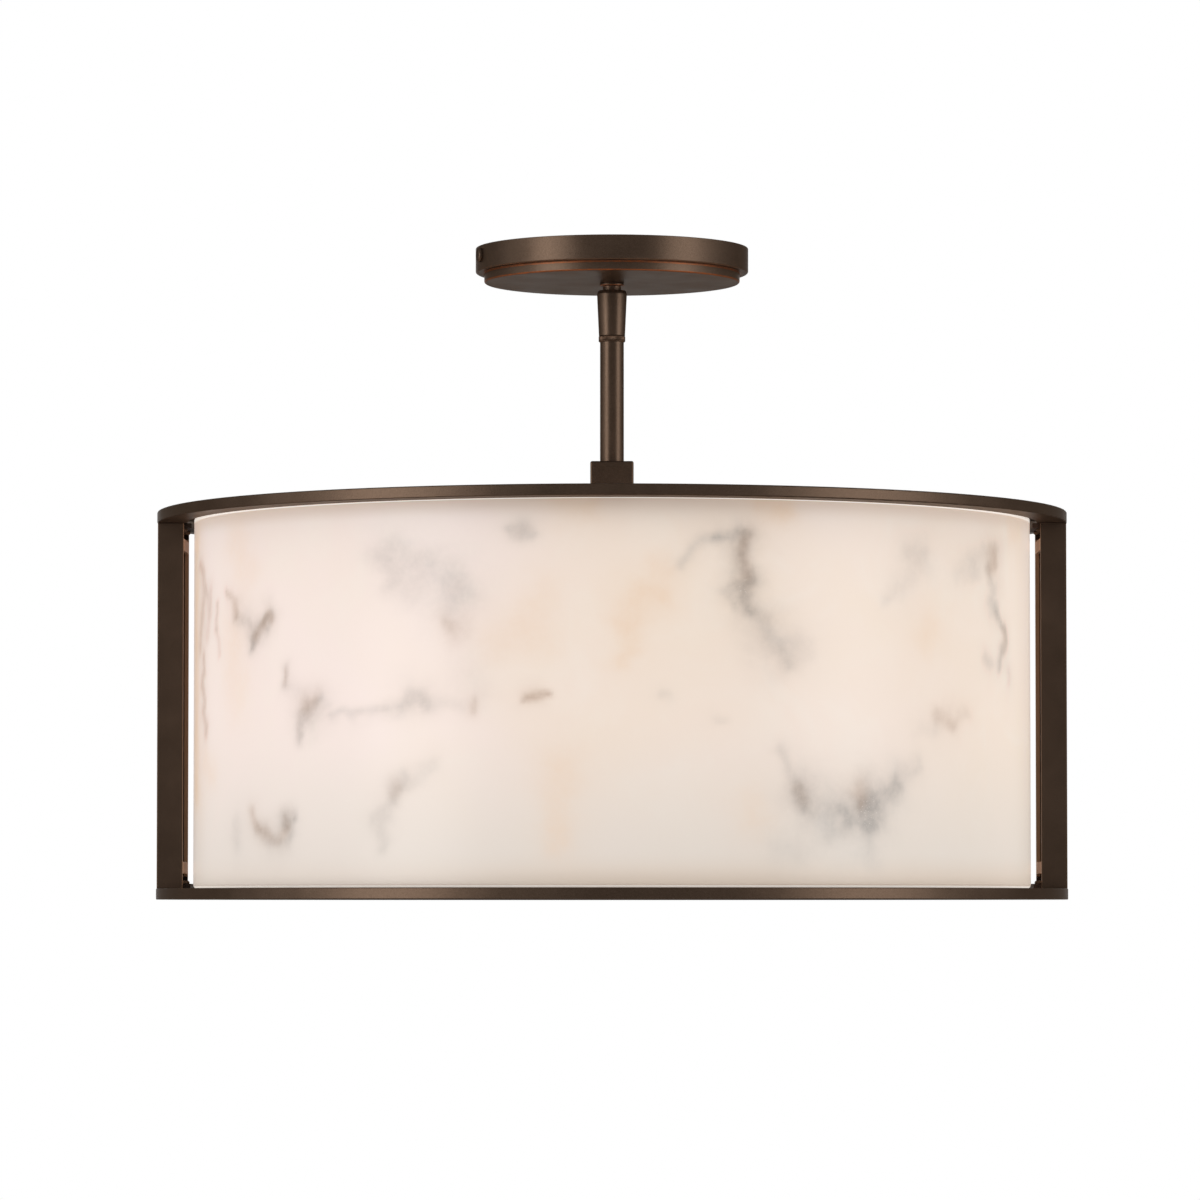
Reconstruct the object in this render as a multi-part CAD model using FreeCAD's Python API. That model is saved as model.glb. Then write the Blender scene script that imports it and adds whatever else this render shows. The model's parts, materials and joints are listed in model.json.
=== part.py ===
"""Semi flush ceiling light: a drum shade in a two-ring bronze frame, hung from a swivel canopy.

Millimetres, +Z up. The origin is the centre of the ceiling plane, and the light hangs below it.
X runs from one upright to the other, and Y runs from front (-Y) to back.
"""
import FreeCAD, Part
import math
import os

V = FreeCAD.Vector

# ---------------------------------------------------------------- sizes: canopy and mounting straps
canopy_radius = 68.8
canopy_side_height = 12.4
canopy_step_inset = 4.3            # how far the lower step stands in from the side wall
canopy_step_height = 4.9
canopy_wall = 1.2
canopy_edge_round = 0.9
strap_thickness = 1.6
strap_turn = 17.0                  # degrees from X to the strap that takes the canopy screws
strap_ear_gap = 0.8                # between a bent ear and the canopy's wall
canopy_strap_width = 12.0
strap_ear_drop = 9.6               # ceiling to the end of an ear
canopy_screw_drop = 5.1            # ceiling to the axis of a canopy screw
canopy_screw_radius = 1.65
canopy_screw_head = (3.5, 2.0)     # head radius and height
canopy_screw_grip = 5.6            # shank inside the canopy's outer face
box_strap_width = 18.0
box_slot_spacing = 79.4            # between slot centres, so both common outlet boxes fit
box_slot_length = 14.4
box_slot_radius = 2.4
box_strap_margin = 5.0             # metal beyond the end of a slot
strap_corner = 4.0
eyelet_radius = 5.2
eyelet_wall = 1.0
eyelet_flange = (7.2, 0.8)         # flange radius and thickness
ground_screw_offset = 46.0         # from the centre, along the canopy strap
ground_screw_radius = 2.0
ground_screw_head = (4.2, 2.4)

# ---------------------------------------------------------------- sizes: swivel
turning_gap = 0.1                  # between flat faces that turn on each other
running_gap = 0.05                 # radial, round a shaft or pin that turns
shank_radius = 4.85
shank_reach = 8.6                  # threaded shank above the canopy's floor
swivel_bore = 2.4
washer_radius = 8.5
washer_thickness = 1.0
swivel_nut_flats = 14.0
swivel_nut_height = 3.4
collar_radius = 6.05
collar_height = 1.3
neck_radius = 4.6
neck_length = 2.5                  # neck that shows between collar and sleeve
neck_reveal = 0.4                  # full neck carried on into the sleeve
waist_radius = 3.8
waist_tail = 3.0                   # neck below the pivot
pivot_depth = 6.0                  # sleeve's top edge to the two tilt axes
gimbal_inner = 4.7
gimbal_outer = 5.9
gimbal_height = 4.0
pin_radius = 0.7
sleeve_length = 22.8
sleeve_mouth = 6.5
sleeve_lip = 0.45                  # flat top edge beyond the mouth
sleeve_shoulder = (7.5, 1.6)       # largest radius, and how far below the top it is reached
sleeve_foot_wall = 0.6             # wall round the stem at the sleeve's lower end
sleeve_overlap = 10.0              # stem tube held in the sleeve
lock_ring_wall = 0.72
lock_ring_height = 3.2
lock_ring_chamfer = 0.45

# ---------------------------------------------------------------- sizes: stem and hub
stem_radius = 6.0
stem_length = 60.8                 # tube that shows between lock ring and hub
thread_gap = 0.05
nipple_radius = 4.9
nipple_bore = 3.2
nipple_reach_up = 12.0             # nipple inside the stem tube
nipple_reach_down = 7.2            # nipple below the socket plate
hub_width = 21.8
hub_height = 26.3
hub_round = 1.0

# ---------------------------------------------------------------- sizes: shade and frame
shade_radius = 210.0
shade_wall = 4.0
shade_round = 1.9
shade_top_gap = 0.3                # between the shade's top edge and the spider bars
shade_ring_gap = 3.6               # between the shade and the top ring
top_ring_width = 15.0
ring_height = 5.5
ring_round = 0.6
bottom_ledge = 8.0                 # bottom ring that reaches in past the shade's wall
bar_width = 16.0
bar_thickness = 3.0
bar_lap = 8.4                      # bar let into the top ring
lap_gap = 0.1
arm_screw_radius = 1.8
arm_screw_head = (3.6, 1.9)
upright_length = 182.9
upright_depth = 14.1               # ring's outer edge to the upright's open edge
upright_width = 40.0
upright_wall = 2.0
upright_setback = 0.3              # upright's outer face behind the rings' outer edge
foot_thickness = 2.4
foot_gap = 0.6                     # between a foot and the shade
tie_height = 6.0
tie_offset = 7.5                   # ring to the near edge of a cross tie
tie_thickness = 1.6
foot_screw_radius = 1.6
foot_screw_head = (3.0, 1.7)
foot_screw_inset = 1.6             # screw axis behind the upright's open edge
foot_screw_spread = 11.0
foot_screw_grip = 4.0
clip_thickness = 1.2
clip_width = 12.0
clip_height = 14.0
clip_gap = 0.3
clip_foot = 6.4
rivet_radius = 1.4
rivet_head = (2.4, 0.8)
rivet_grip = 3.0

# ---------------------------------------------------------------- sizes: sockets and bulbs
lamp_count = 3
lamp_circle = 66.0
cup_radius = 26.0
cup_height = 12.0
cup_wall = 1.2
plate_radius = 100.0
plate_thickness = 1.5
plate_edge_round = 0.6
plate_nut_flats = 16.0
plate_nut_height = 4.0
socket_radius = 18.0
socket_height = 44.0
socket_roof = 8.0
socket_bore = 14.3
liner_wall = 0.9
liner_top = 2.6                    # below the socket's roof
liner_height = 26.0
contact_radius = 3.2
contact_height = 2.0
socket_screw_radius = 1.5
socket_screw_head = (2.9, 1.6)
socket_screw_grip = 6.0
socket_screw_spread = 11.0
bulb_gap = 0.3                     # round the bulb's screw base, and above its contact
bulb_button = (4.0, 1.6)
bulb_shoulder = 3.6                # contact to the full width of the screw base
bulb_base_height = 24.0
bulb_base_wall = 0.8
bulb_neck = 13.0                   # neck radius of the housing
bulb_neck_height = 12.0
bulb_flare_height = 25.0
bulb_radius = 30.0
bulb_dome_height = 46.0
bulb_dome_wall = 1.2
lead_radius = 1.1
lead_spacing = 1.4                 # stem lead's axis from the stem's axis
lead_clearance = 0.3
lead_hole_gap = 0.9                # round a lead that bends down through the plate
lead_bend = 4.0
lead_start = 4.0                   # below the stem tube's top end
window_height = 8.0
window_width = 3.0
splice_radius = 3.0
splice_length = 9.0
splice_start = 9.0                 # from the axis to the splice's mouth

# ---------------------------------------------------------------- sizes: diffuser and finial
diffuser_thickness = 3.0
diffuser_gap = 0.8                 # between diffuser and bottom ring, so it can be lowered out
diffuser_washer = (8.0, 0.8)
finial_radius = 9.0
finial_height = 6.0
finial_recess = 0.6                # finial's lowest point above the underside of the bottom ring
rod_radius = 1.6
rod_play = 0.15
rod_nut_flats = 8.0
rod_nut_height = 3.2
coupler_stub = 5.0
coupler_flange = (6.0, 2.0)
screw_slot = (0.9, 0.7)            # width and depth of a driver slot

# ---------------------------------------------------------------- levels and radii that follow
canopy_ledge = -canopy_side_height
canopy_bottom = canopy_ledge - canopy_step_height
canopy_floor = canopy_bottom + canopy_wall
strap_lower = -2 * strap_thickness
strap_reach = canopy_radius - canopy_wall - strap_ear_gap

shank_top = canopy_floor + shank_reach
washer_bottom = canopy_floor + turning_gap
nut_bottom = washer_bottom + washer_thickness
collar_top = canopy_bottom - turning_gap
collar_bottom = collar_top - collar_height
sleeve_top = collar_bottom - neck_length
waist_top = sleeve_top - neck_reveal
pivot_level = sleeve_top - pivot_depth
neck_end = pivot_level - waist_tail
sleeve_bottom = sleeve_top - sleeve_length
tube_top = sleeve_bottom + sleeve_overlap
sleeve_foot_radius = stem_radius + sleeve_foot_wall
lock_ring_bottom = sleeve_bottom - lock_ring_height
hub_top = lock_ring_bottom - stem_length
frame_top = hub_top - hub_height
bar_bottom = frame_top - bar_thickness
ring_bottom = frame_top - ring_height
lower_ring_top = ring_bottom - upright_length
lower_ring_bottom = lower_ring_top - ring_height

shade_inner = shade_radius - shade_wall
shade_top = bar_bottom - shade_top_gap
ring_inner = shade_radius + shade_ring_gap
ring_outer = ring_inner + top_ring_width
lower_ring_inner = shade_inner - bottom_ledge
bar_reach = ring_inner + bar_lap
upright_face = ring_outer - upright_setback
upright_edge = ring_outer - upright_depth
foot_edge = shade_radius + foot_gap
foot_screw_x = upright_edge + foot_screw_inset

cup_bottom = bar_bottom - cup_height
plate_bottom = cup_bottom - plate_thickness
nipple_top = hub_top + nipple_reach_up
nipple_bottom = plate_bottom - nipple_reach_down
window_bottom = cup_bottom + 1.0
socket_bottom = plate_bottom - socket_height
roof_level = plate_bottom - socket_roof
contact_level = roof_level - contact_height
liner_radius = socket_bore - liner_wall
bulb_top = contact_level - bulb_gap
bulb_base_radius = liner_radius - bulb_gap
bulb_base_bottom = bulb_top - bulb_base_height
bulb_flare_top = bulb_base_bottom - bulb_neck_height
bulb_flare_bottom = bulb_flare_top - bulb_flare_height
bulb_tip = bulb_flare_bottom - bulb_dome_height

finial_bottom = lower_ring_bottom + finial_recess
finial_top = finial_bottom + finial_height
diffuser_bottom = finial_top + diffuser_washer[1]
diffuser_top = diffuser_bottom + diffuser_thickness
diffuser_radius = lower_ring_inner - diffuser_gap
rod_top = nipple_bottom + coupler_stub - 1.0
rod_bottom = finial_bottom + finial_height / 2

lamp_angles = [90 + 360 * number / lamp_count for number in range(lamp_count)]
past = 1.0                         # how far a cutting tool runs past the face it leaves by


# ---------------------------------------------------------------- helpers
def rod(radius, low, high, x=0.0, y=0.0):
    """Upright cylinder between two levels."""
    return Part.makeCylinder(radius, high - low, V(x, y, low))


def pipe(outer, inner, low, high):
    """Upright tube on the Z axis."""
    return rod(outer, low, high).cut(rod(inner, low - past, high + past))


def slab(x_range, y_range, z_range):
    """Box between two values on each axis."""
    sizes = [high - low for low, high in (x_range, y_range, z_range)]
    return Part.makeBox(*sizes, V(x_range[0], y_range[0], z_range[0]))


def outline(corners):
    """Closed face in the XZ plane. Each corner is (x, z) or (x, z, round), the round an arc's radius."""
    count = len(corners)
    starts, middles, ends = [], [], []
    for number, corner in enumerate(corners):
        here = V(corner[0], 0, corner[1])
        radius = corner[2] if len(corner) > 2 else 0
        if radius == 0:
            starts.append(here)
            middles.append(None)
            ends.append(here)
            continue
        before, after = corners[number - 1], corners[(number + 1) % count]
        back = (V(before[0], 0, before[1]) - here).normalize()
        ahead = (V(after[0], 0, after[1]) - here).normalize()
        half = back.getAngle(ahead) / 2
        inward = (back + ahead).normalize()
        starts.append(here + back * (radius / math.tan(half)))
        ends.append(here + ahead * (radius / math.tan(half)))
        middles.append(here + inward * (radius / math.sin(half) - radius))
    edges = []
    for number in range(count):
        if middles[number] is not None:
            edges.append(Part.Arc(starts[number], middles[number], ends[number]).toShape())
        following = starts[(number + 1) % count]
        if ends[number].distanceToPoint(following) > 1e-6:
            edges.append(Part.LineSegment(ends[number], following).toShape())
    return Part.Face(Part.Wire(edges))


def turned(corners):
    """Solid turned about Z from an outline of (radius, level) corners."""
    return outline(corners).revolve(V(0, 0, 0), V(0, 0, 1), 360)


def placed(shape, point, direction=V(0, 0, 1)):
    """Copy of a shape that was built from the origin along +Z, set at a point along a direction."""
    copy = shape.copy()
    turn = FreeCAD.Rotation(V(0, 0, 1), direction)
    copy.Placement = FreeCAD.Placement(point, turn).multiply(copy.Placement)
    return copy


def spun(shape, degrees):
    """Copy of a shape turned about the Z axis."""
    copy = shape.copy()
    copy.rotate(V(0, 0, 0), V(0, 0, 1), degrees)
    return copy


def around(degrees, distance, level):
    """Point at an angle, distance and level."""
    turn = math.radians(degrees)
    return V(distance * math.cos(turn), distance * math.sin(turn), level)


def group(solids):
    """Separate solids that share one node."""
    return Part.makeCompound(solids)


def pan_screw(head, shank_radius, grip):
    """Slotted screw: the head's flat face lies on z = 0, and the shank runs down from it."""
    radius, height = head
    width, depth = screw_slot
    body = turned([(0, height), (radius, height, height * 0.6), (radius, 0), (shank_radius, 0),
                   (shank_radius, -grip), (0, -grip)])
    return body.cut(slab((-radius - past, radius + past), (-width / 2, width / 2),
                         (height - depth, height + past)))


def flush_screw(head, shank_radius, grip):
    """Slotted countersunk screw: the head's top lies on z = 0."""
    radius, height = head
    width, depth = screw_slot
    body = turned([(0, 0), (radius, 0), (shank_radius, -height), (shank_radius, -grip), (0, -grip)])
    return body.cut(slab((-radius - past, radius + past), (-width / 2, width / 2), (-depth, past)))


def flush_hole(head, hole_radius, depth):
    """Tool that cuts a countersunk hole down from z = 0."""
    radius, height = head
    return turned([(0, past), (radius, past), (radius, 0), (hole_radius, -height),
                   (hole_radius, -depth), (0, -depth)])


def hex_nut(flats, height, bore, level):
    """Hexagon nut on the Z axis, its corners chamfered, with its lower face at a level."""
    corner = flats / math.sqrt(3)
    points = [V(corner * math.cos(math.radians(60 * side)), corner * math.sin(math.radians(60 * side)), 0)
              for side in range(6)]
    prism = Part.Face(Part.makePolygon(points + points[:1])).extrude(V(0, 0, height))
    chamfer = corner - flats / 2
    blank = turned([(0, 0), (flats / 2, 0), (corner, chamfer), (corner, height - chamfer),
                    (flats / 2, height), (0, height)])
    return placed(prism.common(blank).cut(rod(bore, -past, height + past)), V(0, 0, level))


def bent_lead(points, bend):
    """Insulated lead along straight runs that are joined by arcs of one radius."""
    edges = []
    start = points[0]
    for number in range(1, len(points) - 1):
        here = points[number]
        back = (points[number - 1] - here).normalize()
        ahead = (points[number + 1] - here).normalize()
        half = back.getAngle(ahead) / 2
        reach = bend / math.tan(half)
        middle = here + (back + ahead).normalize() * (bend / math.sin(half) - bend)
        edges.append(Part.LineSegment(start, here + back * reach).toShape())
        edges.append(Part.Arc(here + back * reach, middle, here + ahead * reach).toShape())
        start = here + ahead * reach
    edges.append(Part.LineSegment(start, points[-1]).toShape())
    section = Part.Wire(Part.makeCircle(lead_radius, points[0], points[1] - points[0]))
    return Part.Wire(edges).makePipeShell([section], True, False)


# ---------------------------------------------------------------- canopy and mounting straps
def canopy():
    """Spun pan with a stepped underside, open towards the ceiling."""
    step = canopy_radius - canopy_step_inset
    wall, edge = canopy_wall, canopy_edge_round
    shank_hole = shank_radius + running_gap
    shell = turned([
        (canopy_radius - wall, 0), (canopy_radius, 0), (canopy_radius, canopy_ledge, edge),
        (step, canopy_ledge), (step, canopy_bottom, edge), (shank_hole, canopy_bottom),
        (shank_hole, canopy_floor), (step - wall, canopy_floor), (step - wall, canopy_ledge + wall),
        (canopy_radius - wall, canopy_ledge + wall)])
    hole = canopy_screw_radius + lap_gap
    for degrees in (strap_turn, strap_turn + 180):
        inside = around(degrees, strap_reach, -canopy_screw_drop)
        shell = shell.cut(Part.makeCylinder(hole, canopy_wall + strap_ear_gap + past, inside,
                                            around(degrees, 1, 0)))
    return shell


def box_strap():
    """Flat strap along X with two slots for the outlet box's screws."""
    slot_reach = (box_slot_spacing + box_slot_length) / 2
    reach = slot_reach + box_strap_margin
    strap = slab((-reach, reach), (-box_strap_width / 2, box_strap_width / 2), (-strap_thickness, 0))
    upright_edges = [edge for edge in strap.Edges if abs(edge.tangentAt(edge.FirstParameter).z) > 0.9]
    strap = strap.makeFillet(strap_corner, upright_edges)
    straight = box_slot_length / 2 - box_slot_radius
    for side in (-1, 1):
        centre = side * box_slot_spacing / 2
        low, high = -strap_thickness - past, past
        slot = rod(box_slot_radius, low, high, centre - straight).fuse(
            [rod(box_slot_radius, low, high, centre + straight),
             slab((centre - straight, centre + straight), (-box_slot_radius, box_slot_radius), (low, high))])
        strap = strap.cut(slot)
    return strap.cut(turned([(0, past), (eyelet_radius + eyelet_wall, past), (eyelet_radius + eyelet_wall, 0),
                             (eyelet_radius, -eyelet_wall), (eyelet_radius, -strap_thickness - past),
                             (0, -strap_thickness - past)]))


def canopy_strap():
    """Strap under the box strap. Its two ears bend down along the canopy's wall."""
    upper, inner = -strap_thickness, strap_reach - strap_thickness
    profile = outline([
        (-strap_reach, -strap_ear_drop), (-strap_reach, upper, 1.5 * strap_thickness),
        (strap_reach, upper, 1.5 * strap_thickness), (strap_reach, -strap_ear_drop),
        (inner, -strap_ear_drop), (inner, strap_lower, strap_thickness / 2),
        (-inner, strap_lower, strap_thickness / 2), (-inner, -strap_ear_drop)])
    strap = profile.extrude(V(0, canopy_strap_width, 0))
    strap.translate(V(0, -canopy_strap_width / 2, 0))
    strap = strap.cut([
        rod(eyelet_radius, strap_lower - past, 0),
        rod(ground_screw_radius, strap_lower - past, 0, -ground_screw_offset),
        Part.makeCylinder(canopy_screw_radius, 2 * strap_reach + 2 * past,
                          V(-strap_reach - past, 0, -canopy_screw_drop), V(1, 0, 0))])
    return spun(strap, strap_turn)


def strap_eyelet():
    """Hollow rivet that the two straps swivel on, its top flared into the box strap."""
    bore = eyelet_radius - eyelet_wall
    flange, thickness = eyelet_flange
    return turned([
        (bore, 0), (eyelet_radius + eyelet_wall, 0), (eyelet_radius, -eyelet_wall),
        (eyelet_radius, strap_lower), (flange, strap_lower), (flange, strap_lower - thickness, thickness / 2),
        (bore, strap_lower - thickness)])


def canopy_screws():
    """Two screws through the canopy's wall into the strap's ears."""
    screw = pan_screw(canopy_screw_head, canopy_screw_radius, canopy_screw_grip)
    return group([placed(screw, around(degrees, canopy_radius, -canopy_screw_drop), around(degrees, 1, 0))
                  for degrees in (strap_turn, strap_turn + 180)])


def ground_screw():
    """Screw for the earth lead, driven up into the canopy strap."""
    screw = pan_screw(ground_screw_head, ground_screw_radius, strap_thickness)
    return placed(screw, around(strap_turn + 180, ground_screw_offset, strap_lower), V(0, 0, -1))


# ---------------------------------------------------------------- swivel
def swivel_neck():
    """Threaded shank, collar and hollow neck in one turned piece, bored across for the neck pins."""
    neck = turned([
        (swivel_bore, shank_top), (shank_radius, shank_top, 0.4), (shank_radius, collar_top),
        (collar_radius, collar_top), (collar_radius, collar_bottom, 0.5), (neck_radius, collar_bottom),
        (neck_radius, waist_top), (waist_radius, waist_top), (waist_radius, neck_end, 0.4),
        (swivel_bore, neck_end)])
    reach = waist_radius + past
    return neck.cut(Part.makeCylinder(pin_radius + running_gap, 2 * reach, V(0, -reach, pivot_level),
                                      V(0, 1, 0)))


def swivel_washer():
    """Washer that turns on the canopy's floor."""
    return pipe(washer_radius, shank_radius, washer_bottom, nut_bottom)


def swivel_nut():
    """Nut that holds the neck up in the canopy."""
    return hex_nut(swivel_nut_flats, swivel_nut_height, shank_radius, nut_bottom)


def gimbal_ring():
    """Ring round the neck's waist. It tilts on the neck pins, and the sleeve tilts on it."""
    half = gimbal_height / 2
    ring = turned([
        (gimbal_inner, pivot_level + half), (gimbal_outer, pivot_level + half, 0.3),
        (gimbal_outer, pivot_level - half, 0.3), (gimbal_inner, pivot_level - half)])
    reach = gimbal_outer + past
    return ring.cut([
        Part.makeCylinder(pin_radius, 2 * reach, V(0, -reach, pivot_level), V(0, 1, 0)),
        Part.makeCylinder(pin_radius + running_gap, 2 * reach, V(-reach, 0, pivot_level), V(1, 0, 0))])


def neck_pins():
    """Pins fixed in the gimbal ring that run in the neck, front and back."""
    inner, outer = swivel_bore + 0.2, gimbal_outer
    return group([Part.makeCylinder(pin_radius, outer - inner, V(0, side * inner, pivot_level),
                                    V(0, side, 0)) for side in (-1, 1)])


def sleeve_radius(level):
    """Outer radius of the sleeve's taper at a level."""
    widest, drop = sleeve_shoulder
    share = (sleeve_top - drop - level) / (sleeve_length - drop)
    return widest + (sleeve_foot_radius - widest) * share


def sleeve_pins():
    """Pins fixed in the sleeve that run in the gimbal ring, left and right."""
    inner, outer = gimbal_inner + 0.1, sleeve_radius(pivot_level) - 0.1
    return group([Part.makeCylinder(pin_radius, outer - inner, V(side * inner, 0, pivot_level),
                                    V(side, 0, 0)) for side in (-1, 1)])


def swivel_sleeve():
    """Tapered sleeve. Its wide mouth leaves the neck room to tilt, and its foot holds the stem."""
    widest, drop = sleeve_shoulder
    sleeve = turned([
        (sleeve_mouth, sleeve_top, 0.15), (sleeve_mouth + sleeve_lip, sleeve_top, 0.15),
        (widest, sleeve_top - drop, 1.0), (sleeve_foot_radius, sleeve_bottom),
        (stem_radius, sleeve_bottom), (stem_radius, tube_top), (sleeve_mouth, tube_top)])
    reach = widest + past
    return sleeve.cut(Part.makeCylinder(pin_radius, 2 * reach, V(-reach, 0, pivot_level), V(1, 0, 0)))


def lock_ring():
    """Ring on the stem that locks the sleeve."""
    outer, cut = stem_radius + lock_ring_wall, lock_ring_chamfer
    return turned([
        (stem_radius, sleeve_bottom), (outer - cut, sleeve_bottom), (outer, sleeve_bottom - cut),
        (outer, lock_ring_bottom + cut), (outer - cut, lock_ring_bottom), (stem_radius, lock_ring_bottom)])


# ---------------------------------------------------------------- stem and hub
def stem_tube():
    """Straight tube from the sleeve to the hub."""
    return pipe(stem_radius, nipple_radius + thread_gap, hub_top, tube_top)


def hub_block():
    """Square block that stands on the crossed bars, with its outer edges rounded."""
    half = hub_width / 2
    block = slab((-half, half), (-half, half), (frame_top, hub_top))
    soft = [edge for edge in block.Edges if edge.BoundBox.ZMax > hub_top - hub_round]
    return block.makeFillet(hub_round, soft).cut(
        rod(nipple_radius + thread_gap, frame_top - past, hub_top + past))


def hub_nipple():
    """Hollow threaded rod through hub, bars, cup and plate, with two windows for the leads."""
    nipple = pipe(nipple_radius, nipple_bore, nipple_bottom, nipple_top)
    reach = nipple_radius + past
    return nipple.cut(slab((-reach, reach), (-window_width / 2, window_width / 2),
                           (window_bottom, window_bottom + window_height)))


def spider_bar(turn, notch_range):
    """Flat bar across the top ring, halved at the middle where the other bar crosses it."""
    half = bar_width / 2
    bar = slab((-bar_reach, bar_reach), (-half, half), (bar_bottom, frame_top))
    hole = flush_hole(arm_screw_head, arm_screw_radius, bar_thickness + past)
    tools = [slab((-half, half), (-half - past, half + past), notch_range),
             rod(nipple_radius + thread_gap, bar_bottom - past, frame_top + past)]
    tools += [placed(hole, V(side * (bar_reach - bar_lap / 2), 0, frame_top)) for side in (-1, 1)]
    return spun(bar.cut(tools), turn)


def arm_screws():
    """Four countersunk screws from the bars' ends into the top ring."""
    screw = flush_screw(arm_screw_head, arm_screw_radius, ring_height - 0.4)
    return group([placed(screw, around(90 * side, bar_reach - bar_lap / 2, frame_top)) for side in range(4)])


# ---------------------------------------------------------------- frame
def ring(inner, bottom, top):
    """Flat ring with slightly rounded edges."""
    return turned([(inner, top, ring_round), (ring_outer, top, ring_round),
                   (ring_outer, bottom, ring_round), (inner, bottom, ring_round)])


def foot_screw_spots():
    """Plan positions of the screws in the uprights' feet."""
    return [(end * foot_screw_x, side * foot_screw_spread) for end in (-1, 1) for side in (-1, 1)]


def top_ring():
    """Upper ring, with pockets for the four bar ends and holes for its screws."""
    body = ring(ring_inner, ring_bottom, frame_top)
    pocket = slab((ring_inner - past - ring_round, bar_reach + lap_gap),
                  (-bar_width / 2 - lap_gap, bar_width / 2 + lap_gap), (bar_bottom, frame_top + past))
    tools = [spun(pocket, 90 * side) for side in range(4)]
    tools += [placed(rod(arm_screw_radius, ring_bottom + 0.4, frame_top),
                     around(90 * side, bar_reach - bar_lap / 2, 0)) for side in range(4)]
    tools += [rod(foot_screw_radius, ring_bottom - past, ring_bottom + foot_screw_grip - foot_thickness, x, y)
              for x, y in foot_screw_spots()]
    return body.cut(tools)


def clip_spots():
    """Angles of the shade clips, between the uprights and the middle of each side."""
    return [45 + 90 * side for side in range(4)]


def rivet_distance():
    """Distance of a clip's rivet from the axis."""
    return shade_inner - clip_gap - clip_thickness - (clip_foot - clip_thickness) / 2


def bottom_ring():
    """Lower ring. The shade stands on it, and it reaches in past the shade to carry the clips."""
    tools = [rod(foot_screw_radius, lower_ring_top - foot_screw_grip + foot_thickness, lower_ring_top + past,
                 x, y) for x, y in foot_screw_spots()]
    tools += [placed(rod(rivet_radius, lower_ring_top - rivet_grip + clip_thickness, lower_ring_top + past),
                     around(degrees, rivet_distance(), 0)) for degrees in clip_spots()]
    return ring(lower_ring_inner, lower_ring_bottom, lower_ring_top).cut(tools)


def upright(side):
    """Channel between the rings, open towards the shade, with a foot at each end and two cross ties."""
    half, inner_half = upright_width / 2, upright_width / 2 - upright_wall
    levels = (lower_ring_top, ring_bottom)
    reach = upright_face + past
    channel = rod(upright_face, *levels).common(slab((upright_edge, reach), (-half, half), levels))
    hollow = rod(upright_face - upright_wall, *levels).common(
        slab((upright_edge - past, reach), (-inner_half, inner_half), levels))
    parts = []
    for low in (lower_ring_top, ring_bottom - foot_thickness):
        high = low + foot_thickness
        parts.append(rod(upright_face, low, high).common(
            slab((foot_edge, reach), (-inner_half, inner_half), (low, high))))
    for low in (lower_ring_top + tie_offset, ring_bottom - tie_offset - tie_height):
        parts.append(slab((upright_edge, upright_edge + tie_thickness), (-inner_half, inner_half),
                          (low, low + tie_height)))
    body = channel.cut(hollow).fuse(parts).removeSplitter()
    body = body.cut([rod(foot_screw_radius, low - past, low + foot_thickness + past, foot_screw_x, spread)
                     for low in (lower_ring_top, ring_bottom - foot_thickness)
                     for spread in (-foot_screw_spread, foot_screw_spread)])
    return body if side > 0 else spun(body, 180)


def upright_screws():
    """Two screws in each foot, up into the top ring and down into the bottom ring."""
    screw = pan_screw(foot_screw_head, foot_screw_radius, foot_screw_grip)
    solids = []
    for x, y in foot_screw_spots():
        solids.append(placed(screw, V(x, y, ring_bottom - foot_thickness), V(0, 0, -1)))
        solids.append(placed(screw, V(x, y, lower_ring_top + foot_thickness)))
    return group(solids)


# ---------------------------------------------------------------- shade
def shade():
    """Cast drum wall with rounded edges, open at both ends. It stands on the bottom ring."""
    inner_round = shade_wall - shade_round - lap_gap
    return turned([(shade_inner, shade_top, inner_round), (shade_radius, shade_top, shade_round),
                   (shade_radius, lower_ring_top, shade_round), (shade_inner, lower_ring_top, inner_round)])


def shade_clips():
    """Four small angles on the bottom ring that keep the shade centred from inside."""
    outer = shade_inner - clip_gap
    half = clip_width / 2
    reach = math.sqrt(outer ** 2 - half ** 2)
    leg = slab((reach - clip_thickness, reach), (-half, half), (lower_ring_top, lower_ring_top + clip_height))
    foot = slab((reach - clip_foot, reach), (-half, half), (lower_ring_top, lower_ring_top + clip_thickness))
    clip = leg.fuse(foot).removeSplitter().cut(
        rod(rivet_radius, lower_ring_top - past, lower_ring_top + clip_thickness + past, rivet_distance()))
    return group([spun(clip, degrees) for degrees in clip_spots()])


def clip_rivets():
    """One rivet through the foot of each clip."""
    radius, height = rivet_head
    rivet = turned([(0, height), (radius, height, height * 0.7), (radius, 0), (rivet_radius, 0),
                    (rivet_radius, -rivet_grip), (0, -rivet_grip)])
    return group([placed(rivet, around(degrees, rivet_distance(), lower_ring_top + clip_thickness))
                  for degrees in clip_spots()])


# ---------------------------------------------------------------- cup, plate and sockets
def wire_cup():
    """Cup under the bars that covers the splices, notched at its rim for the socket leads."""
    inner = cup_radius - cup_wall
    cup = turned([(nipple_radius + thread_gap, bar_bottom), (cup_radius, bar_bottom, cup_wall),
                  (cup_radius, cup_bottom), (inner, cup_bottom), (inner, bar_bottom - cup_wall),
                  (nipple_radius + thread_gap, bar_bottom - cup_wall)])
    half = lead_radius + lead_clearance
    notch = slab((inner - past, cup_radius + past), (-half, half), (cup_bottom - past, cup_bottom + 2 * half))
    return cup.cut([spun(notch, degrees) for degrees in lamp_angles])


def socket_screw_offsets(degrees):
    """Plan positions of one socket's two screws, either side of the lamp's radius line."""
    centre = around(degrees, lamp_circle, 0)
    side = around(degrees + 90, socket_screw_spread, 0)
    return [centre + side, centre - side]


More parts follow.
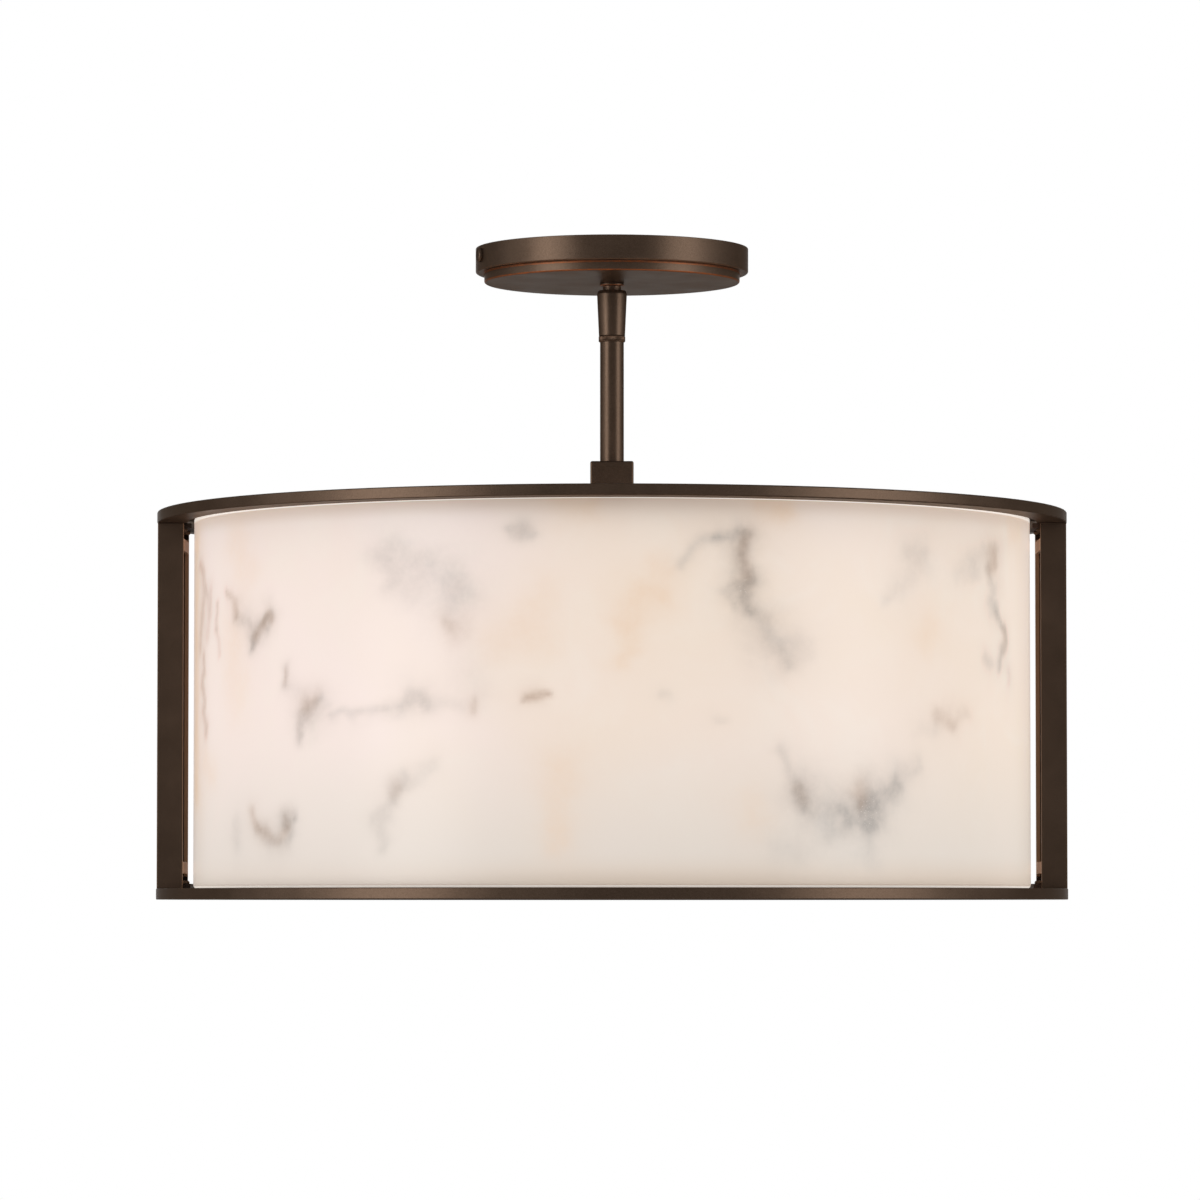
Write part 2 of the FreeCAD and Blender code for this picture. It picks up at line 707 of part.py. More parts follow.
def lead_drop(degrees):
    """Point on the plate where a lead turns down into its socket."""
    return around(degrees, lamp_circle - socket_radius / 2, 0)


def socket_plate():
    """Round plate under the cup that carries the sockets and keeps their light off the ceiling."""
    half_round = min(plate_edge_round, plate_thickness * 0.4)
    plate = turned([(nipple_radius + thread_gap, cup_bottom), (plate_radius, cup_bottom, half_round),
                    (plate_radius, plate_bottom, half_round), (nipple_radius + thread_gap, plate_bottom)])
    tools = []
    for degrees in lamp_angles:
        drop = lead_drop(degrees)
        tools.append(rod(lead_radius + lead_hole_gap, plate_bottom - past, cup_bottom + past, drop.x, drop.y))
        tools += [rod(socket_screw_radius, plate_bottom - past, cup_bottom + past, spot.x, spot.y)
                  for spot in socket_screw_offsets(degrees)]
    return plate.cut(tools)


def plate_nut():
    """Nut on the nipple that clamps plate, cup and bars against the hub."""
    return hex_nut(plate_nut_flats, plate_nut_height, nipple_radius, plate_bottom - plate_nut_height)


def socket_body(degrees):
    """Moulded socket under the plate, open at the bottom."""
    centre, drop = around(degrees, lamp_circle, 0), lead_drop(degrees)
    body = placed(turned([(0, plate_bottom), (socket_radius, plate_bottom, 1.0),
                          (socket_radius, socket_bottom, 1.0), (socket_bore, socket_bottom, 0.8),
                          (socket_bore, roof_level), (0, roof_level)]), centre)
    tools = [rod(lead_radius + lead_hole_gap, roof_level - past, plate_bottom + past, drop.x, drop.y)]
    tools += [rod(socket_screw_radius, cup_bottom - socket_screw_grip, plate_bottom + past, spot.x, spot.y)
              for spot in socket_screw_offsets(degrees)]
    return body.cut(tools)


def socket_liner(degrees):
    """Screw shell that lines the socket."""
    top = roof_level - liner_top
    return placed(pipe(socket_bore, liner_radius, top - liner_height, top), around(degrees, lamp_circle, 0))


def socket_contact(degrees):
    """Centre contact on the socket's roof."""
    contact = turned([(0, roof_level), (contact_radius, roof_level),
                      (contact_radius, contact_level, contact_height * 0.4), (0, contact_level)])
    return placed(contact, around(degrees, lamp_circle, 0))


def socket_screws():
    """Two screws down through the plate into each socket."""
    screw = pan_screw(socket_screw_head, socket_screw_radius, socket_screw_grip)
    return group([placed(screw, V(spot.x, spot.y, cup_bottom))
                  for degrees in lamp_angles for spot in socket_screw_offsets(degrees)])


# ---------------------------------------------------------------- bulbs
def bulb_base(degrees):
    """Thin metal screw base with its contact button, closed below by the housing."""
    button, height = bulb_button
    inner = bulb_base_radius - bulb_base_wall
    base = turned([
        (0, bulb_top), (button, bulb_top, height * 0.4), (button, bulb_top - height),
        (bulb_base_radius, bulb_top - bulb_shoulder, 1.0), (bulb_base_radius, bulb_base_bottom),
        (inner, bulb_base_bottom), (inner, bulb_top - bulb_shoulder - bulb_base_wall),
        (0, bulb_top - bulb_shoulder - bulb_base_wall)])
    return placed(base, around(degrees, lamp_circle, 0))


def bulb_housing(degrees):
    """Moulded housing that flares from the base to the dome."""
    housing = turned([
        (0, bulb_base_bottom), (bulb_neck, bulb_base_bottom), (bulb_neck, bulb_flare_top, 14.0),
        (bulb_radius, bulb_flare_bottom), (0, bulb_flare_bottom)])
    return placed(housing, around(degrees, lamp_circle, 0))


def bulb_dome(degrees):
    """Thin translucent dome on the housing's rim, a short wall and a half ball."""
    equator = bulb_tip + bulb_radius
    inner = bulb_radius - bulb_dome_wall
    outer_ball = Part.makeSphere(bulb_radius, V(0, 0, equator))
    inner_ball = Part.makeSphere(inner, V(0, 0, equator))
    above = rod(bulb_radius, equator, bulb_flare_bottom)
    below = rod(bulb_radius + past, bulb_tip - past, equator)
    dome = outer_ball.common(below).fuse(above).removeSplitter()
    hollow = inner_ball.fuse(rod(inner, equator, bulb_flare_bottom + past)).removeSplitter()
    return placed(dome.cut(hollow), around(degrees, lamp_circle, 0))


# ---------------------------------------------------------------- leads inside the light
def splice_level():
    """Level of the splices in the cup."""
    return window_bottom + window_height / 2


def stem_leads():
    """Two leads from the swivel's end of the stem to the splices in the cup."""
    level = splice_level()
    top = tube_top - lead_start
    return group([bent_lead([V(side * lead_spacing, 0, top), V(side * lead_spacing, 0, level),
                             V(side * splice_start, 0, level)], lead_bend) for side in (-1, 1)])


def splice_caps():
    """Two splice caps inside the cup, one on each stem lead."""
    cap = turned([(0, 0), (splice_radius, 0, 0.5), (splice_radius * 0.7, splice_length, 0.8),
                  (0, splice_length)])
    return group([placed(cap, V(side * splice_start, 0, splice_level()), V(side, 0, 0)) for side in (-1, 1)])


def socket_leads():
    """One lead to each socket: along the plate, then down through it into the socket's roof."""
    level = cup_bottom + lead_radius + lead_clearance
    start = cup_radius - cup_wall - 4.0
    leads = []
    for degrees in lamp_angles:
        drop = lead_drop(degrees)
        leads.append(bent_lead([around(degrees, start, level), V(drop.x, drop.y, level),
                                V(drop.x, drop.y, roof_level + past)], lead_bend - lead_radius))
    return group(leads)


# ---------------------------------------------------------------- diffuser and finial
def rod_coupler():
    """Plug in the nipple's lower end that the finial rod screws into."""
    flange, thickness = coupler_flange
    return turned([
        (rod_radius, nipple_bottom + coupler_stub), (nipple_bore, nipple_bottom + coupler_stub),
        (nipple_bore, nipple_bottom), (flange, nipple_bottom), (flange, nipple_bottom - thickness, 0.6),
        (rod_radius, nipple_bottom - thickness)])


def finial_rod():
    """Thin threaded rod down the middle of the drum."""
    return rod(rod_radius, rod_bottom, rod_top)


def rod_nut():
    """Nut that stops the diffuser from above."""
    return hex_nut(rod_nut_flats, rod_nut_height, rod_radius, diffuser_top + diffuser_washer[1])


def diffuser_washers():
    """Washers above and below the diffuser."""
    radius, thickness = diffuser_washer
    return group([pipe(radius, rod_radius, level, level + thickness)
                  for level in (diffuser_top, diffuser_bottom - thickness)])


def diffuser():
    """Round acrylic panel over the bottom of the drum, bored at the middle for the rod."""
    bore = rod_radius + rod_play
    return turned([(bore, diffuser_top), (diffuser_radius, diffuser_top, 0.6),
                   (diffuser_radius, diffuser_bottom, 0.6), (bore, diffuser_bottom)])


def finial():
    """Low round knob on the rod that holds the diffuser up."""
    crown = finial_height * 0.45
    knob = turned([(0, finial_top), (finial_radius, finial_top, 0.4),
                   (finial_radius, finial_top - crown, 0.8), (finial_radius * 0.6, finial_bottom, 1.5),
                   (0, finial_bottom)])
    return knob.cut(rod(rod_radius, rod_bottom, finial_top + past))


# ---------------------------------------------------------------- write every node
bar_middle = frame_top - bar_thickness / 2

nodes = {
    "canopy": canopy(),
    "box_strap": box_strap(),
    "canopy_strap": canopy_strap(),
    "strap_eyelet": strap_eyelet(),
    "canopy_screws": canopy_screws(),
    "ground_screw": ground_screw(),
    "swivel_neck": swivel_neck(),
    "swivel_washer": swivel_washer(),
    "swivel_nut": swivel_nut(),
    "gimbal_ring": gimbal_ring(),
    "neck_pins": neck_pins(),
    "sleeve_pins": sleeve_pins(),
    "swivel_sleeve": swivel_sleeve(),
    "lock_ring": lock_ring(),
    "stem_tube": stem_tube(),
    "hub_block": hub_block(),
    "hub_nipple": hub_nipple(),
    "spider_bar_x": spider_bar(0, (bar_middle, frame_top + past)),
    "spider_bar_y": spider_bar(90, (bar_bottom - past, bar_middle)),
    "arm_screws": arm_screws(),
    "top_ring": top_ring(),
    "bottom_ring": bottom_ring(),
    "upright_left": upright(-1),
    "upright_right": upright(1),
    "upright_screws": upright_screws(),
    "shade": shade(),
    "shade_clips": shade_clips(),
    "clip_rivets": clip_rivets(),
    "wire_cup": wire_cup(),
    "socket_plate": socket_plate(),
    "plate_nut": plate_nut(),
    "socket_screws": socket_screws(),
    "stem_leads": stem_leads(),
    "splice_caps": splice_caps(),
    "socket_leads": socket_leads(),
    "rod_coupler": rod_coupler(),
    "finial_rod": finial_rod(),
    "rod_nut": rod_nut(),
    "diffuser_washers": diffuser_washers(),
    "diffuser": diffuser(),
    "finial": finial(),
}
for number, degrees in enumerate(lamp_angles, start=1):
    nodes[f"socket_body_{number}"] = socket_body(degrees)
    nodes[f"socket_liner_{number}"] = socket_liner(degrees)
    nodes[f"socket_contact_{number}"] = socket_contact(degrees)
    nodes[f"bulb_base_{number}"] = bulb_base(degrees)
    nodes[f"bulb_housing_{number}"] = bulb_housing(degrees)
    nodes[f"bulb_dome_{number}"] = bulb_dome(degrees)

os.makedirs("parts", exist_ok=True)
for name, shape in nodes.items():
    shape.exportStep(os.path.join("parts", name + ".step"))
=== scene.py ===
"""Finishes and fine shapes of a drum ceiling light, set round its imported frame.

Metres, +Z up, the ceiling plane at z = 0. X runs from upright to upright, and the front faces -Y.
Sizes that a profile or a stroke gives are in millimetres, and are turned into metres when a mesh is made.
"""
import json
import math

import bmesh
import bpy
import numpy as np
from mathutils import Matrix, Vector

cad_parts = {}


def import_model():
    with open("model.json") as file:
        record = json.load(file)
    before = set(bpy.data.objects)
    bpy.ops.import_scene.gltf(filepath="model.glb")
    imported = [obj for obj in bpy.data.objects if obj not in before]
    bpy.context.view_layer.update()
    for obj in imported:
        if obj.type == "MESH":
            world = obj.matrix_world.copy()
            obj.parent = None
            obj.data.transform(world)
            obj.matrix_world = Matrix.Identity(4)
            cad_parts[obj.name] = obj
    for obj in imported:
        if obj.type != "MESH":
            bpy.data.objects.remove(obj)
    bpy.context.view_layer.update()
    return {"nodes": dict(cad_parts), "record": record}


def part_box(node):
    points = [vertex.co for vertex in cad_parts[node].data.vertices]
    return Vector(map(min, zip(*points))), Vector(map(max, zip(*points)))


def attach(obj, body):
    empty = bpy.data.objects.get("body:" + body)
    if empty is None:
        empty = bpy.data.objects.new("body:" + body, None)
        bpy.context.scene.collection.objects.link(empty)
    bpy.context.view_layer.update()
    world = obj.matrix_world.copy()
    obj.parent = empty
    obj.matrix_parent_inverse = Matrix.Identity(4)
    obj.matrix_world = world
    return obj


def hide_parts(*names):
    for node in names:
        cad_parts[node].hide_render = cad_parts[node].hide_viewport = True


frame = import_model()
MM = 0.001
TURN = 2 * math.pi
WEAR_FADE = 0.5                # millimetres past a corner's arc in which its wear ends


# ------------------------------------------------ places read from the frame
def node_box(name):
    """Lowest and highest corner of a CAD node, in millimetres."""
    low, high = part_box(name)
    return np.array(low) / MM, np.array(high) / MM


def node_radius(name):
    """Outer radius in millimetres of a CAD node that is turned about the Z axis."""
    low, high = node_box(name)
    return (high[0] - low[0]) / 2


def node_levels(name):
    """Lowest and highest level of a CAD node, in millimetres."""
    low, high = node_box(name)
    return low[2], high[2]


def level_of(name, end):
    """One end of a node: "top" or "bottom"."""
    return node_levels(name)[1 if end == "top" else 0]


# ------------------------------------------------ numpy surfaces
def new_object(name, data):
    """Object with the given data, linked into the scene."""
    made = bpy.data.objects.new(name, data)
    bpy.context.collection.objects.link(made)
    return made


def rounded(corners, steps):
    """Points along an outline, with an arc at each corner that has a round.

    Each corner is (radius, level, round, wear). An arc is sampled evenly in angle between its two tangent
    points. Wear is the corner's own at the middle of its arc, sin(share of the arc) to each side, and 0 from
    a short way beyond each end. Returns the points and their wear, as arrays.
    """
    spots = np.array([corner[:2] for corner in corners], float)
    count = len(corners)
    points, wear = [], []
    for number, (_, _, radius, worn) in enumerate(corners):
        here = spots[number]
        back, ahead = spots[number - 1] - here, spots[(number + 1) % count] - here
        back_length, ahead_length = np.linalg.norm(back), np.linalg.norm(ahead)
        back, ahead = back / back_length, ahead / ahead_length
        half = math.acos(np.clip(back @ ahead, -1, 1)) / 2
        reach = radius / math.tan(half)
        if radius:
            inward = (back + ahead) / np.linalg.norm(back + ahead)
            centre = here + inward * radius / math.sin(half)
            first, last = here + back * reach - centre, here + ahead * reach - centre
            share = np.linspace(0, 1, steps)[:, None]
            swing = math.pi - 2 * half
            arc = (np.sin((1 - share) * swing) * first + np.sin(share * swing) * last) / math.sin(swing)
            arc = centre + arc
            arc_wear = worn * np.sin(np.linspace(0, math.pi, steps))
        else:
            arc, arc_wear = here[None, :], [worn]
        before = min(reach + WEAR_FADE, back_length * 0.45)
        after = min(reach + WEAR_FADE, ahead_length * 0.45)
        points += [here + back * before, *arc, here + ahead * after]
        wear += [0.0, *arc_wear, 0.0]
    return np.array(points), np.array(wear)


def grid_faces(columns, rows, wrap_rows):
    """Corner numbers of a grid's quads, closed round its columns, and closed or open along its rows."""
    i, j = np.meshgrid(np.arange(columns), np.arange(rows if wrap_rows else rows - 1), indexing="ij")
    i_next, j_next = (i + 1) % columns, (j + 1) % rows
    quads = np.stack([i * rows + j, i_next * rows + j, i_next * rows + j_next, i * rows + j_next], axis=-1)
    return quads.reshape(-1, 4)


def grid_piece(name, points, marks=None, wrap_rows=True, crease=40.0):
    """Object from a grid of points, closed round its columns.

    Points is (columns, rows, 3) in millimetres, and marks gives (columns, rows) values for each attribute.
    Points that meet are merged, the faces are turned outwards, and edges past the crease angle stay sharp.
    """
    columns, rows = points.shape[:2]
    mesh = bpy.data.meshes.new(name)
    faces = grid_faces(columns, rows, wrap_rows)
    mesh.from_pydata((points.reshape(-1, 3) * MM).tolist(), [], faces.tolist())
    for mark, values in (marks or {}).items():
        layer = mesh.attributes.new(mark, "FLOAT", "POINT")
        layer.data.foreach_set("value", np.ascontiguousarray(values, dtype=np.float32).ravel())
    piece = new_object(name, mesh)
    tidy_mesh(piece, crease)
    return piece


def tidy_mesh(piece, crease):
    """Merges points that meet, turns faces outwards, and shades smooth up to the crease angle."""
    mesh = piece.data
    work = bmesh.new()
    work.from_mesh(mesh)
    bmesh.ops.remove_doubles(work, verts=work.verts, dist=1e-6)
    bmesh.ops.dissolve_degenerate(work, edges=work.edges, dist=1e-7)
    bmesh.ops.recalc_face_normals(work, faces=work.faces)
    limit = math.radians(crease)
    for face in work.faces:
        face.smooth = True
    for edge in work.edges:
        edge.smooth = edge.calc_face_angle(0.0) < limit
    work.to_mesh(mesh)
    work.free()


def around(radius, level, angles):
    """Grid of a profile carried round the Z axis: x = r sin a, y = -r cos a, so a = 0 is the front.

    Level has a value for each row, and radius one for all, for each row, or for each column and row.
    """
    radius, level, turns = np.broadcast_arrays(radius, level, angles[:, None])
    return np.stack([np.sin(turns) * radius, -np.cos(turns) * radius, level], axis=-1)


def even_angles(count):
    """Evenly spaced angles round one turn."""
    return np.arange(count) * TURN / count


def turned_piece(name, corners, count, steps=7, centre=(0, 0)):
    """Piece turned about an upright axis from an outline of (radius, level, round, wear) corners.

    An outline that starts and ends on the axis is left open there, so that its poles are single points.
    """
    points, wear = rounded(corners, steps)
    polar = corners[0][0] == 0
    if polar:
        points, wear = points[1:-1], wear[1:-1]
    grid = around(*points.T, even_angles(count)) + np.array([*centre, 0])
    return grid_piece(name, grid, {"wear": np.broadcast_to(wear, grid.shape[:2])}, wrap_rows=not polar)


def thread_rows(radius, start, end, pitch, per_turn):
    """Rows of (radius, level, share) along a thread, its depth fading in and out over half a pitch."""
    levels = np.linspace(start, end, int(abs(end - start) / pitch * per_turn))
    share = np.minimum(np.abs(levels - start), np.abs(end - levels)) / (pitch / 2)
    return np.stack([np.full_like(levels, radius), levels, np.clip(share, 0, 1)], axis=1)


def threaded_piece(name, rows, pitch, depth, count, centre=(0, 0), polar=False):
    """Piece turned about an upright axis, with a thread on the rows that have a share of it.

    Radius = the row's own - depth x share x (1 + cos(turn x level / pitch - angle)) / 2. A negative depth
    rolls the thread outwards.
    """
    turns = even_angles(count)
    radius, level, share = rows.T
    wave = (1 + np.cos(TURN * level / pitch - turns[:, None])) / 2
    grid = around(radius - depth * share * wave, level, turns) + np.array([*centre, 0])
    return grid_piece(name, grid, wrap_rows=not polar, crease=50)


# ------------------------------------------------ materials
def feed(tree, node, inputs):
    """Links a node's inputs to sockets, or sets them to values."""
    for key, value in inputs.items():
        if isinstance(value, bpy.types.NodeSocket):
            tree.links.new(value, node.inputs[key])
        else:
            node.inputs[key].default_value = value


def add(tree, kind, inputs=None, **settings):
    """New node with its settings and its inputs."""
    node = tree.nodes.new(kind)
    for key, value in settings.items():
        setattr(node, key, value)
    feed(tree, node, inputs or {})
    return node


def worked_out(tree, operation, first, second=0.0, clamp=False):
    """Result of a Math node on values or sockets."""
    node = add(tree, "ShaderNodeMath", {0: first, 1: second}, operation=operation, use_clamp=clamp)
    return node.outputs[0]


def sum_of(tree, first, second, clamp=False):
    """Sum of two values or sockets."""
    return worked_out(tree, "ADD", first, second, clamp)


def times(tree, first, second, clamp=False):
    """Product of two values or sockets."""
    return worked_out(tree, "MULTIPLY", first, second, clamp)


def mixed(tree, share, first, second):
    """Mix of two colours, each a socket or an RGB triple."""
    first, second = ((*value, 1.0) if isinstance(value, tuple) else value for value in (first, second))
    return add(tree, "ShaderNodeMix", {0: share, 6: first, 7: second}, data_type="RGBA").outputs[2]


def ranged(tree, value, from_low, from_high, to_low=0.0, to_high=1.0, smooth=False):
    """Map Range node's result."""
    inputs = {"Value": value, "From Min": from_low, "From Max": from_high,
              "To Min": to_low, "To Max": to_high}
    kind = "SMOOTHSTEP" if smooth else "LINEAR"
    return add(tree, "ShaderNodeMapRange", inputs, interpolation_type=kind).outputs["Result"]


def axes_of(tree, place):
    """X, Y and Z of a place, by name."""
    return add(tree, "ShaderNodeSeparateXYZ", {"Vector": place}).outputs


def mark_of(tree, name):
    """Value of a mark that a mesh carries at its points."""
    return add(tree, "ShaderNodeAttribute", attribute_name=name).outputs["Fac"]


def noise(tree, place, scale, detail, roughness, distortion=0.0):
    """Noise texture's value at a place."""
    return add(tree, "ShaderNodeTexNoise", {"Vector": place, "Scale": scale, "Detail": detail,
                                            "Roughness": roughness, "Distortion": distortion}).outputs[0]


def start_finish(name):
    """New material. Returns it, its tree, its shader and the socket of the place on the object."""
    material = bpy.data.materials.new(name)
    material.use_nodes = True
    tree = material.node_tree
    place = add(tree, "ShaderNodeTexCoord").outputs["Object"]
    return material, tree, tree.nodes["Principled BSDF"], place


def linear(red, green, blue):
    """Linear colour from 8-bit sRGB values."""
    values = np.array([red, green, blue]) / 255
    return tuple(np.where(values <= 0.04045, values / 12.92, ((values + 0.055) / 1.055) ** 2.4).tolist())


def set_bump(tree, shader, height, distance, strength):
    """Bump of a height field, its distance in metres."""
    bump = add(tree, "ShaderNodeBump", {"Height": height, "Distance": distance, "Strength": strength})
    tree.links.new(bump.outputs[0], shader.inputs["Normal"])


def bronze_finish(name, dark, light, copper):
    """Brown bronze powder coat: fine metal flake, soft mottling, and copper where the wear mark says so."""
    material, tree, shader, place = start_finish(name)
    flake = noise(tree, place, 2600, 2.0, 0.6)
    mottle = noise(tree, place, 45, 4.0, 0.55, 0.3)
    tone = sum_of(tree, ranged(tree, flake, 0.3, 0.7, 0.0, 0.75), ranged(tree, mottle, 0.3, 0.7, 0.0, 0.25))
    colour = mixed(tree, tone, dark, light)
    patchy = ranged(tree, noise(tree, place, 300, 4.0, 0.6), 0.35, 0.6, 0.55, 1.0)
    colour = mixed(tree, times(tree, mark_of(tree, "wear"), patchy, True), colour, copper)
    rough = ranged(tree, mottle, 0.3, 0.7, 0.31, 0.4)
    feed(tree, shader, {"Base Color": colour, "Metallic": 0.85, "Roughness": rough,
                        "Specular Tint": (*linear(196, 184, 174), 1.0)})
    set_bump(tree, shader, flake, 0.00002, 0.5)
    return material


def plain_metal(name, dark, light, roughness):
    """Bare or plated metal with a fine cloudy grain and stains."""
    material, tree, shader, place = start_finish(name)
    grain = noise(tree, place, 180, 4.0, 0.6)
    stain = noise(tree, place, 60, 3.0, 0.5)
    tone = times(tree, sum_of(tree, grain, stain), 0.5)
    colour = mixed(tree, ranged(tree, tone, 0.35, 0.65), dark, light)
    rough = ranged(tree, stain, 0.3, 0.7, roughness - 0.05, roughness + 0.08)
    feed(tree, shader, {"Base Color": colour, "Metallic": 1.0, "Roughness": rough})
    set_bump(tree, shader, grain, 0.00002, 0.4)
    return material


def coated(name, dark, light, roughness, scale=900):
    """Moulded plastic or powder coat: a fine grain in the gloss and a faint drift in the colour."""
    material, tree, shader, place = start_finish(name)
    grain = noise(tree, place, scale, 2.0, 0.5)
    drift = noise(tree, place, 25, 3.0, 0.5)
    colour = mixed(tree, ranged(tree, drift, 0.3, 0.7), dark, light)
    rough = ranged(tree, grain, 0.3, 0.7, roughness - 0.05, roughness + 0.05)
    feed(tree, shader, {"Base Color": colour, "Roughness": rough})
    set_bump(tree, shader, grain, 0.00003, 0.5)
    return material


def alabaster_finish():
    """Cast faux alabaster: warm white and cloudy, pinker on the left, creamier on the right.

    It is greyer at the foot and warmer along both edges. The veins' strength comes from the marks on the
    drum, broken up by soft noise, with a few bright grains in the darkest ones, and smoke turns bluer low on
    the right. The rim mark paints a near-white highlight on the rounded edges, and the glow mark paints
    emitted light on the wall, strongest towards its edges, though no lamp inside is lit.
    """
    material, tree, shader, place = start_finish("veined_alabaster")
    spot = axes_of(tree, place)
    drift = noise(tree, place, 7, 3.0, 0.5, 0.5)
    cloudy = noise(tree, place, 24, 5.0, 0.55, 0.8)
    creamy = sum_of(tree, ranged(tree, spot["X"], -0.15, 0.05, 0.0, 0.8, True),
                    ranged(tree, drift, 0.35, 0.65, -0.25, 0.25), clamp=True)
    colour = mixed(tree, creamy, linear(251, 234, 226), linear(248, 230, 213))
    colour = mixed(tree, ranged(tree, cloudy, 0.42, 0.75, 0.0, 0.4, True), colour, linear(250, 238, 226))
    colour = mixed(tree, ranged(tree, spot["Z"], -0.235, -0.315, 0.0, 0.75, True), colour,
                   linear(232, 223, 213))
    low_edge = times(tree, ranged(tree, spot["Z"], -0.305, -0.323, 0.0, 1.0, True),
                     ranged(tree, spot["X"], -0.13, 0.02, 0.35, 1.0, True))
    colour = mixed(tree, low_edge, colour, linear(233, 216, 199))
    colour = mixed(tree, ranged(tree, spot["Z"], -0.149, -0.139, 0.0, 0.75, True), colour,
                   linear(240, 217, 199))
    soft = ranged(tree, noise(tree, place, 95, 3.0, 0.45, 0.3), 0.3, 0.7, 0.78, 1.06)
    fine = ranged(tree, noise(tree, place, 380, 3.0, 0.55), 0.3, 0.7, 0.9, 1.1)
    broken = times(tree, soft, fine)
    low_right = times(tree, ranged(tree, spot["Z"], -0.25, -0.28, 0.0, 0.5),
                      ranged(tree, spot["X"], 0.05, 0.12))
    bluish = sum_of(tree, ranged(tree, noise(tree, place, 42, 2.0, 0.5), 0.48, 0.65, 0.0, 0.5, True),
                    low_right, True)
    haze = mixed(tree, bluish, linear(148, 136, 127), linear(152, 152, 151))
    marks = {}
    for mark, tint in (("blush", linear(243, 213, 185)), ("smoke", haze), ("umber", linear(176, 142, 116))):
        marks[mark] = mark_of(tree, mark)
        colour = mixed(tree, times(tree, marks[mark], broken, True), colour, tint)
    grains = ranged(tree, noise(tree, place, 1500, 1.0, 0.5), 0.66, 0.70)
    grains = times(tree, grains, ranged(tree, marks["smoke"], 0.6, 0.85, 0.0, 0.6), True)
    colour = mixed(tree, grains, colour, linear(250, 246, 240))
    # Painted highlight: the rim mark turns the rounded edges near white.
    colour = mixed(tree, mark_of(tree, "rim"), colour, linear(255, 247, 238))
    # Painted glow: the glow mark sets how much of the colour is emitted, though no lamp inside is lit.
    glow = mixed(tree, mark_of(tree, "glow"), (0.0, 0.0, 0.0), colour)
    feed(tree, shader, {"Base Color": colour, "Emission Color": glow, "Emission Strength": 0.6,
                        "Roughness": 0.3, "Specular IOR Level": 0.35})
    set_bump(tree, shader, noise(tree, place, 700, 3.0, 0.5), 0.00003, 0.4)
    return material


def within(tree, value, level):
    """1 where a value is short of a level in millimetres, and 0 from a little past it."""
    return ranged(tree, value, level * MM, (level + 0.4) * MM, 1.0, 0.0)


def channel_finish(coat, inside_shade, tie_painted_reflection, worn):
    """Bronze coat of the uprights: painted shade inside the channel, and a rubbed band along the two open
    edges that is partly wear and partly painted highlight.

    The inside is where |x| and |y| are less than at the channel's inner faces, and its painted shade is
    darker on the left. The cross ties at its mouth, a little way from each end, are painted paler, as a
    painted reflection of the glowing drum. The rubbed band lies on the flanges' free edges and, more
    faintly, on the outer corners.
    """
    material = coat.copy()
    material.name = "bronze_channel"
    tree = material.node_tree
    shader = tree.nodes["Principled BSDF"]
    place = next(node for node in tree.nodes if node.type == "TEX_COORD").outputs["Object"]
    spot = axes_of(tree, place)
    out, side = (worked_out(tree, "ABSOLUTE", spot[axis]) for axis in ("X", "Y"))
    from_middle = worked_out(tree, "ABSOLUTE", sum_of(tree, spot["Z"], -UPRIGHT_MIDDLE * MM))
    between = within(tree, side, CHANNEL_HALF_INSIDE)
    inside = times(tree, between, within(tree, out, CHANNEL_BACK_INSIDE))
    free_edge = times(tree, within(tree, out, CHANNEL_MOUTH), worked_out(tree, "SUBTRACT", 1.0, between))
    corner = times(tree, ranged(tree, out, 0.2266, 0.2273), ranged(tree, side, 0.0193, 0.0199))
    tie = times(tree, within(tree, out, TIE_BACK), inside)
    tie = times(tree, tie, within(tree, from_middle, TIE_LEVEL))
    # Painted shade: the channel's inside takes a darker colour, darker still on the left.
    left_inside_shade = tuple(0.35 * part for part in inside_shade)
    inside_shade = mixed(tree, ranged(tree, spot["X"], -0.1, 0.1), left_inside_shade, inside_shade)
    # Painted reflection: the ties take a paler, tan colour.
    inside_shade = mixed(tree, tie, inside_shade, tie_painted_reflection)
    # Partly wear and partly painted highlight, on the free edges and faintly on the outer corners.
    rub_and_highlight = sum_of(tree, free_edge, times(tree, corner, 0.3), True)
    colour = shader.inputs["Base Color"].links[0].from_socket
    rough = shader.inputs["Roughness"].links[0].from_socket
    feed(tree, shader, {"Base Color": mixed(tree, rub_and_highlight, mixed(tree, inside, colour, inside_shade), worn),
                        "Roughness": sum_of(tree, rough, times(tree, inside, 0.25)),
                        "Metallic": ranged(tree, inside, 0.0, 1.0, 0.85, 0.1)})
    return material


